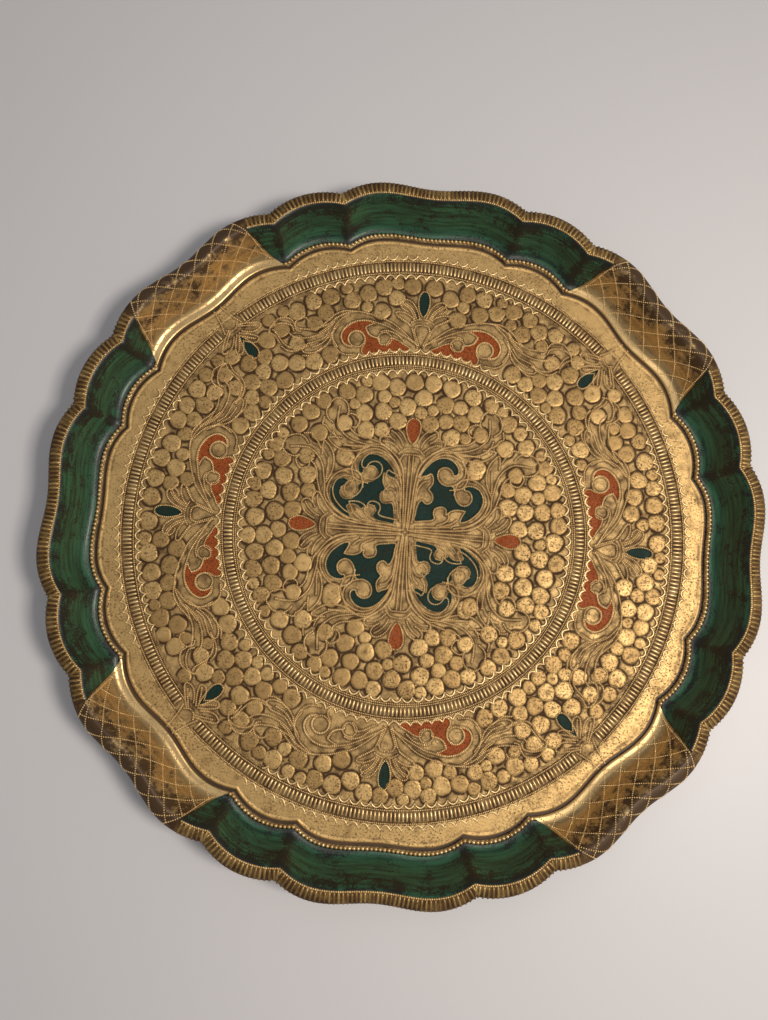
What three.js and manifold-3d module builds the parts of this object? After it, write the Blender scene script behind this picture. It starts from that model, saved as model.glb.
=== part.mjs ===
// Round tray of wood and gesso with a scalloped, coved rim.
// Frame: millimetres, +Z up, origin on the resting plane at the centre, front at -Y.
// A point of a section is given at the crest of a scallop, as a radius and a height. Its share says how
// its radius follows the scallops: 0 those of the floor edge, 1 those of the rim edge, null none at all.
import * as THREE from 'three';
import { mergeVertices } from 'three/addons/utils/BufferGeometryUtils.js';
import Module from 'manifold-3d';

// Overall sizes
const TRAY_RADIUS = 203; // centre to the crest of an outer scallop
const FLOOR_HEIGHT = 8; // resting plane to the embossed face
const RIM_RISE = 22; // embossed face to the top of the cove

// Widths of the bands, counted inwards from the outer edge
const EDGE_WIDTH = 9;
const COVE_WIDTH = 14.2;
const BEAD_WIDTH = 2.2;
const GROOVE_WIDTH = 1.6;
const LIP_WIDTH = 16; // part of the rim that passes under the floor board

// Thicknesses
const GESSO = 1.5; // every gesso skin: floor panel, coves, lattice panels and edges
const LIP_THICKNESS = 2.7;
const BEAD_HEIGHT = 3.1;
const EDGE_ROLL = 5.5; // fall of the rolled edge from its top to its nose
const FILLET_RISE = 0.2; // rolled edge above the top of the cove
const GAP = 0.3; // glue line between any two pieces

// Keys across the rim joints
const KEY_LENGTH = 24;
const KEY_WIDTH = 6.4;
const KEY_THICKNESS = 2;
const KEY_HEIGHT = 1.6; // resting plane to the key
const KEY_COVER = 2.5; // wood between the rebate and the key

// Scallops of one eighth of the tray, in degrees from the middle of a green section to a diagonal
const HOLLOW_MIDDLE = 0;
const STATIONS = [
  { from: HOLLOW_MIDDLE, to: 9.8, deep: 'from', sharp: false },
  { from: 9.8, to: 15.7, deep: 'to', sharp: true },
  { from: 15.7, to: 22.1, deep: 'from', sharp: true },
  { from: 22.1, to: 28.4, deep: 'to', sharp: true },
  { from: 28.4, to: 35, deep: 'from', sharp: true },
  { from: 35, to: 45, deep: 'to', sharp: false },
];
const FLOOR_DEPTHS = { middle: 2.4, notch: 4.5, diagonal: 4.2 };
const RIM_DEPTHS = { middle: 4.3, notch: 4.6, diagonal: 4.8 };
const STEPS_PER_FLANK = 3;

// Lattice panels: half-widths of their flared sides, in degrees
const PANEL_HALF_ANGLE_INNER = 14.7;
const PANEL_HALF_ANGLE_OUTER = 10.2;

// How finely the curves are divided
const COVE_STEPS = 7;
const ROLL_STEPS = 3;
const BACK_STEPS = [0.85, 0.5, 0.2];
const MERGE_DISTANCE = 1e-4;

// Sides and corners, anticlockwise from the front
const SIDES = ['front', 'right', 'back', 'left'];
const CORNERS = ['front_right', 'back_right', 'back_left', 'front_left'];

const FINISHES = {
  gilt: { color: 0xa88a52, roughness: 0.42, metalness: 0.55 },
  green: { color: 0x1f4a33, roughness: 0.3, metalness: 0 },
  wood: { color: 0x8a6a45, roughness: 0.7, metalness: 0 },
};

// Radii that follow from the widths
const coveOuter = TRAY_RADIUS - EDGE_WIDTH;
const coveInner = coveOuter - COVE_WIDTH;
const beadInner = coveInner - GAP - BEAD_WIDTH;
const floorEdge = beadInner - GROOVE_WIDTH;
const lipInner = floorEdge - LIP_WIDTH;
const coveTop = FLOOR_HEIGHT + RIM_RISE;
const boardTop = FLOOR_HEIGHT - GESSO - GAP;
const seatHeight = boardTop - GAP;

const radians = THREE.MathUtils.degToRad;
const wasm = await Module();
wasm.setup();

// Depth of a scallop below its crest at an angle, for one set of depths.
function scallopDepth(degrees, depths) {
  const turned = (((degrees + 45) % 90) + 90) % 90 - 45;
  const away = Math.abs(turned);
  const flank = STATIONS.find((s) => away <= s.to) ?? STATIONS[STATIONS.length - 1];
  const crest = flank.deep === 'from' ? flank.to : flank.from;
  const low = flank.deep === 'from' ? flank.from : flank.to;
  const u = (away - crest) / (low - crest);
  if (flank.sharp) return depths.notch * u * u;
  const depth = low === HOLLOW_MIDDLE ? depths.middle : depths.diagonal;
  return (depth * (1 - Math.cos(Math.PI * u))) / 2;
}

// Radius of a section point at an angle.
function radiusAt(point, degrees) {
  if (point.share === null) return point.r;
  const floor = scallopDepth(degrees, FLOOR_DEPTHS);
  const rim = scallopDepth(degrees, RIM_DEPTHS);
  return point.r - THREE.MathUtils.lerp(floor, rim, point.share);
}

// Angles of the columns in one eighth: every crest, notch and hollow, with steps between.
function eighthAngles() {
  const angles = [];
  for (const { from, to } of STATIONS) {
    for (let k = 0; k < STEPS_PER_FLANK; k += 1) angles.push(from + ((to - from) * k) / STEPS_PER_FLANK);
  }
  return angles;
}

// Angles of one quarter, from one diagonal to the next, centred on 0.
function quarterAngles() {
  const half = [...eighthAngles(), 45];
  const mirrored = half.slice(1).map((a) => -a).reverse();
  return [...mirrored, ...half];
}

// Angles of one quarter, from one middle of a green section to the next.
function cornerAngles() {
  const half = [...eighthAngles(), 45];
  const mirrored = half.slice(0, -1).map((a) => 90 - a).reverse();
  return [...half, ...mirrored];
}

// Angles all the way round, without a double at the start.
function fullAngles() {
  const quarter = quarterAngles().slice(0, -1);
  return SIDES.flatMap((_, k) => quarter.map((a) => a + 90 * k));
}

// Share of a radius between the floor edge and the outer edge.
function shareOf(r) {
  return THREE.MathUtils.clamp((r - floorEdge) / (TRAY_RADIUS - floorEdge), 0, 1);
}

const at = (r, z) => ({ r, z, share: shareOf(r) });
const round = (r, z) => ({ r, z, share: null });

// Ogee of the cove: hollow at its foot, steep in the middle, rolling over at the top.
function coveCurve() {
  return Array.from({ length: COVE_STEPS + 1 }, (_, k) => {
    const u = k / COVE_STEPS;
    const rise = 0.12 * u + 0.88 * THREE.MathUtils.smoothstep(u ** 1.3, 0, 1);
    return at(coveInner + COVE_WIDTH * u, FLOOR_HEIGHT + RIM_RISE * rise);
  });
}

// Rolled edge outside the cove: a quarter of an ellipse that ends upright at the nose.
function rollCurve() {
  const top = coveTop + FILLET_RISE;
  return Array.from({ length: ROLL_STEPS + 1 }, (_, k) => {
    const a = (Math.PI / 2) * (k / ROLL_STEPS);
    const r = coveOuter + GAP + (EDGE_WIDTH - GAP) * Math.sin(a);
    return at(r, top - EDGE_ROLL * (1 - Math.cos(a)));
  });
}

// Line parallel to a curve, below it by a distance. Ends that meet a neighbour are cut upright.
function lowered(curve, distance) {
  const last = curve.length - 1;
  return curve.map((p, k) => {
    const [a, b] = [curve[Math.max(k - 1, 0)], curve[Math.min(k + 1, last)]];
    const [dr, dz] = [b.r - a.r, b.z - a.z];
    const length = Math.hypot(dr, dz);
    const upright = k === 0 || (k === last && dz > 0);
    if (upright) return { ...p, z: p.z - (distance * length) / dr };
    return { ...p, r: p.r + (distance * dz) / length, z: p.z - (distance * dr) / length };
  });
}

// Both curves of the rim, lowered by the same distance.
const rimLine = (distance) => [...lowered(coveCurve(), distance), ...lowered(rollCurve(), distance)];

// Skin of gesso under a curve.
const skin = (curve) => [...curve, ...lowered(curve, GESSO).reverse()];

// Solid from a geometry: position only, shared corners merged, flattened triangles left out.
function toSolid(geometry) {
  geometry.deleteAttribute('normal');
  geometry.deleteAttribute('uv');
  const merged = mergeVertices(geometry, MERGE_DISTANCE);
  const corners = Array.from(merged.index.array);
  const triVerts = [];
  for (let t = 0; t < corners.length; t += 3) {
    const [a, b, c] = corners.slice(t, t + 3);
    if (a !== b && b !== c && c !== a) triVerts.push(a, b, c);
  }
  const vertProperties = new Float32Array(merged.attributes.position.array);
  const mesh = new wasm.Mesh({ numProp: 3, vertProperties, triVerts: new Uint32Array(triVerts) });
  return new wasm.Manifold(mesh);
}

function toGeometry(solid) {
  const mesh = solid.getMesh();
  const geometry = new THREE.BufferGeometry();
  geometry.setAttribute('position', new THREE.Float32BufferAttribute(mesh.vertProperties, 3));
  geometry.setIndex(Array.from(mesh.triVerts));
  return geometry;
}

// Section swept anticlockwise through a list of angles: capped at both ends, or closed into a whole turn
// when the section starts and ends on the axis.
function sweep(section, angles, wholeTurn = false) {
  const flat = section.map((p) => new THREE.Vector2(p.r, p.z));
  const points = THREE.ShapeUtils.isClockWise(flat) ? section.slice().reverse() : section;
  const n = points.length;
  const positions = angles.flatMap((degrees) => points.flatMap((point) => {
    const r = radiusAt(point, degrees);
    return [r * Math.cos(radians(degrees)), r * Math.sin(radians(degrees)), point.z];
  }));
  const triangles = [];
  const columns = wholeTurn ? angles.length : angles.length - 1;
  for (let i = 0; i < columns; i += 1) {
    const here = i * n;
    const next = ((i + 1) % angles.length) * n;
    for (let j = 0; j < n; j += 1) {
      const k = (j + 1) % n;
      triangles.push(here + j, next + k, here + k, here + j, next + j, next + k);
    }
  }
  if (!wholeTurn) {
    const last = columns * n;
    const outline = points.map((p) => new THREE.Vector2(p.r, p.z));
    for (const [a, b, c] of THREE.ShapeUtils.triangulateShape(outline, [])) {
      triangles.push(a, b, c, last + c, last + b, last + a);
    }
  }
  const geometry = new THREE.BufferGeometry();
  geometry.setAttribute('position', new THREE.Float32BufferAttribute(positions, 3));
  geometry.setIndex(triangles);
  return toSolid(geometry);
}

// Upright block on the diagonal at 45 degrees that cuts out a lattice panel, wider by a margin. Each side is
// the straight line through its points at the foot and at the nose of the rim, made longer at both ends.
function panelBlock(margin) {
  const point = (r, half, side) => {
    const angle = radians(45 + side * half) + (side * margin) / r;
    return new THREE.Vector2(r * Math.cos(angle), r * Math.sin(angle));
  };
  const ends = (side) => {
    const foot = point(coveInner, PANEL_HALF_ANGLE_INNER, side);
    const nose = point(TRAY_RADIUS, PANEL_HALF_ANGLE_OUTER, side);
    return [foot.clone().multiplyScalar(2).sub(nose), nose.clone().multiplyScalar(2).sub(foot)];
  };
  const corners = [...ends(-1), ...ends(1).reverse()];
  const options = { depth: 3 * coveTop, bevelEnabled: false };
  const block = new THREE.ExtrudeGeometry(new THREE.Shape(corners), options).translate(0, 0, -coveTop);
  return toSolid(block);
}

// A facing along one quarter, stopped at the lattice panels on both sides.
function betweenPanels(section) {
  const [ahead, behind] = [panelBlock(GAP), panelBlock(GAP).rotate([0, 0, -90])];
  return sweep(section, quarterAngles()).subtract(ahead).subtract(behind);
}

// Floor board, stepped underneath where it drops into the rim.
function floorBoard() {
  const step = LIP_THICKNESS + GAP;
  const underside = [round(0, 0), round(lipInner - GAP, 0), round(lipInner - GAP, step), at(floorEdge, step)];
  return sweep([...underside, at(floorEdge, boardTop), round(0, boardTop)], fullAngles(), true);
}

// Gesso panel on the board, with a rounded scalloped edge.
function floorPanel() {
  const bottom = boardTop + GAP;
  const edge = [0, 0.5, 1].map((t) => {
    const a = (Math.PI / 2) * t;
    return at(floorEdge - GESSO * (1 - Math.cos(a)), bottom + GESSO * Math.sin(a));
  });
  return sweep([round(0, bottom), ...edge, round(0, FLOOR_HEIGHT)], fullAngles(), true);
}

// Section of the wooden rim: rebate for the board, seat for the beads, cove, rolled edge and hollow back.
function rimSection() {
  const top = rimLine(GESSO + GAP);
  const nose = top[top.length - 1];
  const foot = coveInner + LIP_THICKNESS;
  const back = BACK_STEPS.map((t) => at(foot + (nose.r - foot) * t ** 0.85, nose.z * t ** 1.45));
  const rebate = at(floorEdge + GAP, LIP_THICKNESS);
  const seat = [at(floorEdge + GAP, seatHeight), at(coveInner - GAP, seatHeight)];
  return [round(lipInner, 0), round(lipInner, LIP_THICKNESS), rebate, ...seat, ...top, ...back, at(foot, 0)];
}

// Key across a rim joint, on the diagonal at 45 degrees, larger all round by a margin.
function jointKey(margin) {
  const [width, length, thickness] = [KEY_WIDTH, KEY_LENGTH, KEY_THICKNESS].map((size) => size + 2 * margin);
  const inner = floorEdge - FLOOR_DEPTHS.diagonal + GAP + KEY_COVER;
  const key = new THREE.BoxGeometry(width, length, thickness);
  key.translate(inner + KEY_WIDTH / 2, 0, KEY_HEIGHT + KEY_THICKNESS / 2);
  return toSolid(key.rotateZ(radians(45)));
}

// Quarter of the rim, with half a mortise for a key at each end.
function rimSegment() {
  const jointAngle = THREE.MathUtils.radToDeg(GAP / 2 / lipInner);
  const angles = quarterAngles().map((a) => THREE.MathUtils.clamp(a, jointAngle - 45, 45 - jointAngle));
  const [ahead, behind] = [jointKey(GAP), jointKey(GAP).rotate([0, 0, -90])];
  return sweep(rimSection(), angles).subtract(ahead).subtract(behind);
}

// String of pearls at the foot of the cove, as one rounded strip.
function beadStrip() {
  const half = BEAD_WIDTH / 2;
  const bottom = seatHeight + GAP;
  const crown = [0, 0.25, 0.5, 0.75, 1].map((t) => {
    const a = Math.PI * t;
    return at(beadInner + half - half * Math.cos(a), bottom + BEAD_HEIGHT - half * (1 - Math.sin(a)));
  });
  return betweenPanels([at(beadInner, bottom), ...crown, at(beadInner + BEAD_WIDTH, bottom)]);
}

// Gilded panel over a rim joint, from the groove at the floor out to the nose.
function latticePanel() {
  const bottom = seatHeight + GAP;
  const face = [at(beadInner, bottom + GESSO), ...rimLine(0)];
  const section = [...face, ...rimLine(GESSO).reverse(), at(beadInner, bottom)];
  return sweep(section, cornerAngles()).intersect(panelBlock(0));
}

// Copies of a solid, one on each side or corner of the tray, each with its own name.
function copies(base, names, firstTurn, solid, finish) {
  return names.map((name, k) => piece(`${base}_${name}`, solid.rotate([0, 0, firstTurn + 90 * k]), finish));
}

function piece(name, solid, finish) {
  const mesh = new THREE.Mesh(toGeometry(solid), new THREE.MeshStandardMaterial(FINISHES[finish]));
  mesh.name = name;
  return mesh;
}

const tray = new THREE.Group();
tray.add(
  piece('floor_board', floorBoard(), 'wood'),
  piece('embossed_floor_panel', floorPanel(), 'gilt'),
  ...copies('rim_segment', SIDES, -90, rimSegment(), 'wood'),
  ...copies('joint_key', CORNERS, -90, jointKey(0), 'wood'),
  ...copies('green_cove', SIDES, -90, betweenPanels(skin(coveCurve())), 'green'),
  ...copies('bead_strip', SIDES, -90, beadStrip(), 'gilt'),
  ...copies('ribbed_edge', SIDES, -90, betweenPanels(skin(rollCurve())), 'gilt'),
  ...copies('lattice_panel', CORNERS, -90, latticePanel(), 'gilt'),
);

export default tray;
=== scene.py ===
"""Looks of a round gilded tray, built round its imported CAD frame.

Sizes are in millimetres until a mesh is made, and in metres after that. The ornament of the floor is drawn
once, for one eighth or one quarter of the tray, and copied by the tray's own mirrors.
"""

from __future__ import annotations

import logging
import math
from dataclasses import dataclass, field
from enum import Enum
from typing import Iterable, Sequence

import bmesh
import bpy
import numpy as np
from mathutils import Matrix, Vector, kdtree


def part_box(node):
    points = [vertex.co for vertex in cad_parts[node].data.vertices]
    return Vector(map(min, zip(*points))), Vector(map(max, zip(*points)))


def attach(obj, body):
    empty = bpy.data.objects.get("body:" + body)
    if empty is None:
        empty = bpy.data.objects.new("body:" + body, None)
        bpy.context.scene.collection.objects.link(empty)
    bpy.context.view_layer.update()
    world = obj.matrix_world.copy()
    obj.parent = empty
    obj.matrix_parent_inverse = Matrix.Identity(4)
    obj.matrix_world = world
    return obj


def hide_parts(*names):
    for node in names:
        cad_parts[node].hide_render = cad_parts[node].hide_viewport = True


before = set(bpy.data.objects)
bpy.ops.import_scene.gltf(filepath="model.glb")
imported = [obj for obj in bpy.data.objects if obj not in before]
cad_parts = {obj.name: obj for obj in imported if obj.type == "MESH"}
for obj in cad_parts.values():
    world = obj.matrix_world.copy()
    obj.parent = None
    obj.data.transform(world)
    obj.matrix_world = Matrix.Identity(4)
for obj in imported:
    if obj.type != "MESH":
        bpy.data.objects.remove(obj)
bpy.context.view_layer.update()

log = logging.getLogger("tray")

MM = 0.001
BODY = "root"
Point = tuple[float, float]
Colour = tuple[float, float, float, float]


class Side(Enum):
    """Sides of the tray, with the direction of each in degrees."""

    FRONT = -90.0
    RIGHT = 0.0
    BACK = 90.0
    LEFT = 180.0


class Corner(Enum):
    """Corners of the tray, with the direction of each in degrees."""

    FRONT_RIGHT = -45.0
    BACK_RIGHT = 45.0
    BACK_LEFT = 135.0
    FRONT_LEFT = 225.0


class Paint(Enum):
    """Paints of the floor's fields, with the mesh attribute that holds where each one lies."""

    GREEN = "green"
    RED = "red"


# ---------------------------------------------------------------------------------------------------------
# Shape of the tray
# ---------------------------------------------------------------------------------------------------------


@dataclass(frozen=True)
class TrayShape:
    """Sizes and curves of the tray, the same as those of its CAD part."""

    tray_radius: float = 203.0
    floor_height: float = 8.0
    rim_rise: float = 22.0
    edge_width: float = 9.0
    cove_width: float = 14.2
    bead_width: float = 2.2
    groove_width: float = 1.6
    lip_width: float = 16.0
    gesso: float = 1.5
    lip_thickness: float = 2.7
    edge_roll: float = 5.5
    gap: float = 0.3
    relief: float = 0.45  # room left under the CAD surface for ribs and beads
    panel_inner: float = 14.7
    panel_outer: float = 10.2
    crests: tuple[float, ...] = (9.8, 22.1, 35.0)
    notches: tuple[float, ...] = (15.7, 28.4)
    floor_depths: tuple[float, float, float] = (2.4, 4.5, 4.2)
    rim_depths: tuple[float, float, float] = (4.3, 4.6, 4.8)

    @property
    def cove_outer(self) -> float:
        """Crest radius of the top of the cove."""
        return self.tray_radius - self.edge_width

    @property
    def cove_inner(self) -> float:
        """Crest radius of the foot of the cove."""
        return self.cove_outer - self.cove_width

    @property
    def bead_inner(self) -> float:
        """Crest radius of the inner side of the string of pearls."""
        return self.cove_inner - self.gap - self.bead_width

    @property
    def floor_edge(self) -> float:
        """Crest radius of the edge of the floor."""
        return self.bead_inner - self.groove_width

    @property
    def cove_top(self) -> float:
        """Height of the top of the cove."""
        return self.floor_height + self.rim_rise

    @property
    def seat_height(self) -> float:
        """Height of the wood under the pearls."""
        return self.floor_height - self.gesso - 2 * self.gap

    def depth(self, degrees: np.ndarray, depths: tuple[float, float, float]) -> np.ndarray:
        """Gives how far the outline lies inside its crest circle.

        Args:
            degrees: Directions, in degrees from the +X axis.
            depths: Depth at the middle of a side, at a notch and at a corner.

        Returns:
            The depth in each direction.
        """
        away = np.abs((np.asarray(degrees, float) + 45.0) % 90.0 - 45.0)
        middle, notch, corner = depths
        low = [0.0, *self.notches, 45.0]
        result = np.zeros_like(away)
        for k, crest in enumerate(self.crests):
            for foot, last in ((low[k], k == 0), (low[k + 1], k == len(self.crests) - 1)):
                inside = (away >= min(foot, crest)) & (away <= max(foot, crest))
                u = (away - crest) / (foot - crest)
                smooth = (middle if foot == 0.0 else corner) * (1 - np.cos(np.pi * u)) / 2
                result = np.where(inside, smooth if last else notch * u * u, result)
        return result

    def share(self, r: np.ndarray) -> np.ndarray:
        """Share of the rim's own scallops at a crest radius: 0 at the floor edge, 1 at the nose."""
        return np.clip((np.asarray(r, float) - self.floor_edge) / (self.tray_radius - self.floor_edge), 0, 1)

    def radius(self, r: np.ndarray, degrees: np.ndarray) -> np.ndarray:
        """Gives the true radius of a point that is known by its crest radius.

        Args:
            r: Crest radii.
            degrees: Directions of the points.

        Returns:
            The true radii.
        """
        floor = self.depth(degrees, self.floor_depths)
        rim = self.depth(degrees, self.rim_depths)
        return r - (floor + (rim - floor) * self.share(r))

    def cove_curve(self, steps: int = 26) -> np.ndarray:
        """Draws the ogee of the cove.

        Args:
            steps: Number of straight parts.

        Returns:
            Crest radius and height of each point, from its foot to its top.
        """
        u = np.linspace(0, 1, steps + 1)
        w = u**1.3
        rise = 0.12 * u + 0.88 * (3 * w**2 - 2 * w**3)
        z = self.floor_height + (self.rim_rise - self.relief) * rise
        return np.stack([self.cove_inner + self.cove_width * u, z], 1)

    def roll_curve(self, steps: int = 14) -> np.ndarray:
        """Draws the rolled edge.

        Args:
            steps: Number of straight parts.

        Returns:
            Crest radius and height of each point, from the cove's top to the nose.
        """
        a = np.linspace(0, np.pi / 2, steps + 1)
        width = self.edge_width - self.gap - 1.6 * self.relief
        r = self.cove_outer + self.gap + width * np.sin(a)
        return np.stack([r, self.cove_top - 0.6 * self.relief - self.edge_roll * (1 - np.cos(a))], 1)

    def face_curve(self) -> np.ndarray:
        """Whole visible face of the rim, from the foot of the cove to the nose."""
        return np.concatenate([self.cove_curve(), self.roll_curve()])

    def panel_limit(self, radius: np.ndarray) -> np.ndarray:
        """Gives where a lattice panel's side lies.

        Args:
            radius: True radii.

        Returns:
            The side's direction at each radius, in degrees from the middle of a green section.
        """
        ends = []
        for r, half in ((self.cove_inner, self.panel_inner), (self.tray_radius, self.panel_outer)):
            angle = math.radians(45.0 - half)
            ends.append(np.array([r * math.cos(angle), r * math.sin(angle)]))
        foot, along = ends[0], ends[1] - ends[0]
        a, b = along @ along, foot @ along
        t = (-b + np.sqrt(b * b - a * (foot @ foot - np.asarray(radius, float) ** 2))) / a
        return np.degrees(np.arctan2(foot[1] + along[1] * t, foot[0] + along[0] * t))


SHAPE = TrayShape()
GREEN_HALF = 31.0  # about half of what a green section spans, in degrees
SIDE_GUESS = 32.0  # direction from which the search for a panel's side starts
MAP_RADIUS = 190.0  # radius at which the map along the rim has its true length


# ---------------------------------------------------------------------------------------------------------
# Mesh tools
# ---------------------------------------------------------------------------------------------------------


def new_object(name: str, data: bpy.types.ID) -> bpy.types.Object:
    """Links a new object that shows some mesh or curve data, at the origin."""
    made = bpy.data.objects.new(name, data)
    bpy.context.scene.collection.objects.link(made)
    return made


def mesh_from(name: str, points: np.ndarray, faces: Iterable[Sequence[int]]) -> bpy.types.Mesh:
    """Makes a mesh that is shaded smooth.

    Args:
        name: Name of the mesh.
        points: Corners in millimetres, one row each.
        faces: Corner numbers of each face.

    Returns:
        The mesh, in metres.
    """
    mesh = bpy.data.meshes.new(name)
    mesh.from_pydata((np.asarray(points, float) * MM).tolist(), [], [list(f) for f in faces])
    mesh.polygons.foreach_set("use_smooth", [True] * len(mesh.polygons))
    mesh.update()
    return mesh


def tube_faces(rows: int, n: int) -> list[list[int]]:
    """Faces of a closed tube.

    Args:
        rows: Number of rings of points along it.
        n: Number of points in each ring.

    Returns:
        The faces of its wall, and then those of its two ends.
    """
    faces = [
        [i * n + j, (i + 1) * n + j, (i + 1) * n + (j + 1) % n, i * n + (j + 1) % n]
        for i in range(rows - 1)
        for j in range(n)
    ]
    return [*faces, list(range(n)), [(rows - 1) * n + j for j in reversed(range(n))]]


def face_outwards(mesh: bpy.types.Mesh) -> None:
    """Merges doubles and turns the faces of a closed mesh outwards."""
    work = bmesh.new()
    work.from_mesh(mesh)
    bmesh.ops.remove_doubles(work, verts=work.verts, dist=1e-7)
    bmesh.ops.recalc_face_normals(work, faces=work.faces)
    work.to_mesh(mesh)
    work.free()


def store(mesh: bpy.types.Mesh, name: str, values: np.ndarray) -> None:
    """Stores one number for each corner point of a mesh.

    Args:
        mesh: The mesh.
        name: Name of the attribute.
        values: The numbers.
    """
    layer = mesh.attributes.new(name, "FLOAT", "POINT")
    layer.data.foreach_set("value", np.asarray(values, np.float32).ravel())


def store_vectors(mesh: bpy.types.Mesh, name: str, values: np.ndarray) -> None:
    """Stores one vector for each corner point of a mesh.

    Args:
        mesh: The mesh.
        name: Name of the attribute.
        values: The vectors, one row each.
    """
    layer = mesh.attributes.new(name, "FLOAT_VECTOR", "POINT")
    layer.data.foreach_set("vector", np.asarray(values, np.float32).ravel())


def settle(piece: bpy.types.Object, slot: str, *nodes: str) -> bpy.types.Object:
    """Ties a finished piece to the frame.

    Args:
        piece: The piece.
        slot: Not used.
        *nodes: CAD nodes that it stands for.

    Returns:
        The piece.
    """
    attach(piece, BODY)
    if nodes:
        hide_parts(*nodes)
    log.info("%s: %d faces", piece.name, len(piece.data.polygons))
    return piece


def turned(points: np.ndarray, degrees: float) -> np.ndarray:
    """Turns points about the tray's axis.

    Args:
        points: Points with two or three columns.
        degrees: Angle, anticlockwise.

    Returns:
        The turned points.
    """
    c, s = math.cos(math.radians(degrees)), math.sin(math.radians(degrees))
    result = np.array(points, float)
    result[:, 0] = c * points[:, 0] - s * points[:, 1]
    result[:, 1] = s * points[:, 0] + c * points[:, 1]
    return result


def swept(
    name: str, section: np.ndarray, angles: np.ndarray, plain: np.ndarray | None = None
) -> bpy.types.Mesh:
    """Sweeps a closed section along the scalloped rim into a capped solid with a UV map.

    Args:
        name: Name of the mesh.
        section: Crest radius and height of each section point, in order round the section.
        angles: Direction of each point, one row for each column of the sweep and one column for each
            section point.
        plain: True for each section point that keeps its radius and ignores the scallops.

    Returns:
        The mesh. Its map has the length along the rim as U and the place round the section as V, in metres.
    """
    r = np.broadcast_to(section[:, 0], angles.shape)
    radius = SHAPE.radius(r, angles)
    if plain is not None:
        radius = np.where(plain, r, radius)
    rad = np.radians(angles)
    z = np.broadcast_to(section[:, 1], angles.shape)
    points = np.stack([radius * np.cos(rad), radius * np.sin(rad), z], -1).reshape(-1, 3)
    mesh = mesh_from(name, points, tube_faces(*angles.shape))
    step = np.hypot(*np.diff(np.vstack([section, section[:1]]), axis=0).T)
    v = np.concatenate([[0.0], np.cumsum(step)[:-1]]) * MM
    u = np.radians(angles) * MAP_RADIUS * MM
    coords = np.stack([u, np.broadcast_to(v, u.shape)], -1).reshape(-1, 2)
    loops = np.zeros(len(mesh.loops), np.int32)
    mesh.loops.foreach_get("vertex_index", loops)
    mesh.uv_layers.new(name="UVMap").data.foreach_set("uv", coords[loops].astype(np.float32).ravel())
    return mesh


def rim_piece(
    name: str,
    section: np.ndarray,
    angles: np.ndarray,
    degrees: float,
    material: bpy.types.Material,
    slot: str,
    node: str,
    sharp: float = 50.0,
    plain: np.ndarray | None = None,
    **values: np.ndarray,
) -> None:
    """Sweeps a section along the rim, and dresses and settles the piece.

    Args:
        name: Name of the piece.
        section: Crest radius and height of each section point.
        angles: Direction of each point, for the side or the corner that looks along +X.
        degrees: Turn of the piece about the tray's axis.
        material: Its material.
        slot: Not used; it is passed on to settle, which ignores it.
        node: CAD node that it stands for.
        sharp: Angle in degrees from which an edge is shaded sharp.
        plain: True for each section point that ignores the scallops.
        **values: Numbers that the material reads, one for each point.
    """
    mesh = swept(name, section, angles, plain)
    for key, numbers in values.items():
        store(mesh, key, numbers)
    face_outwards(mesh)
    mesh.transform(Matrix.Rotation(math.radians(degrees), 4, "Z"))
    mesh.materials.append(material)
    mesh.set_sharp_from_angle(angle=math.radians(sharp))
    settle(new_object(name, mesh), slot, node)


# ---------------------------------------------------------------------------------------------------------
# Node tools
# ---------------------------------------------------------------------------------------------------------


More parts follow.
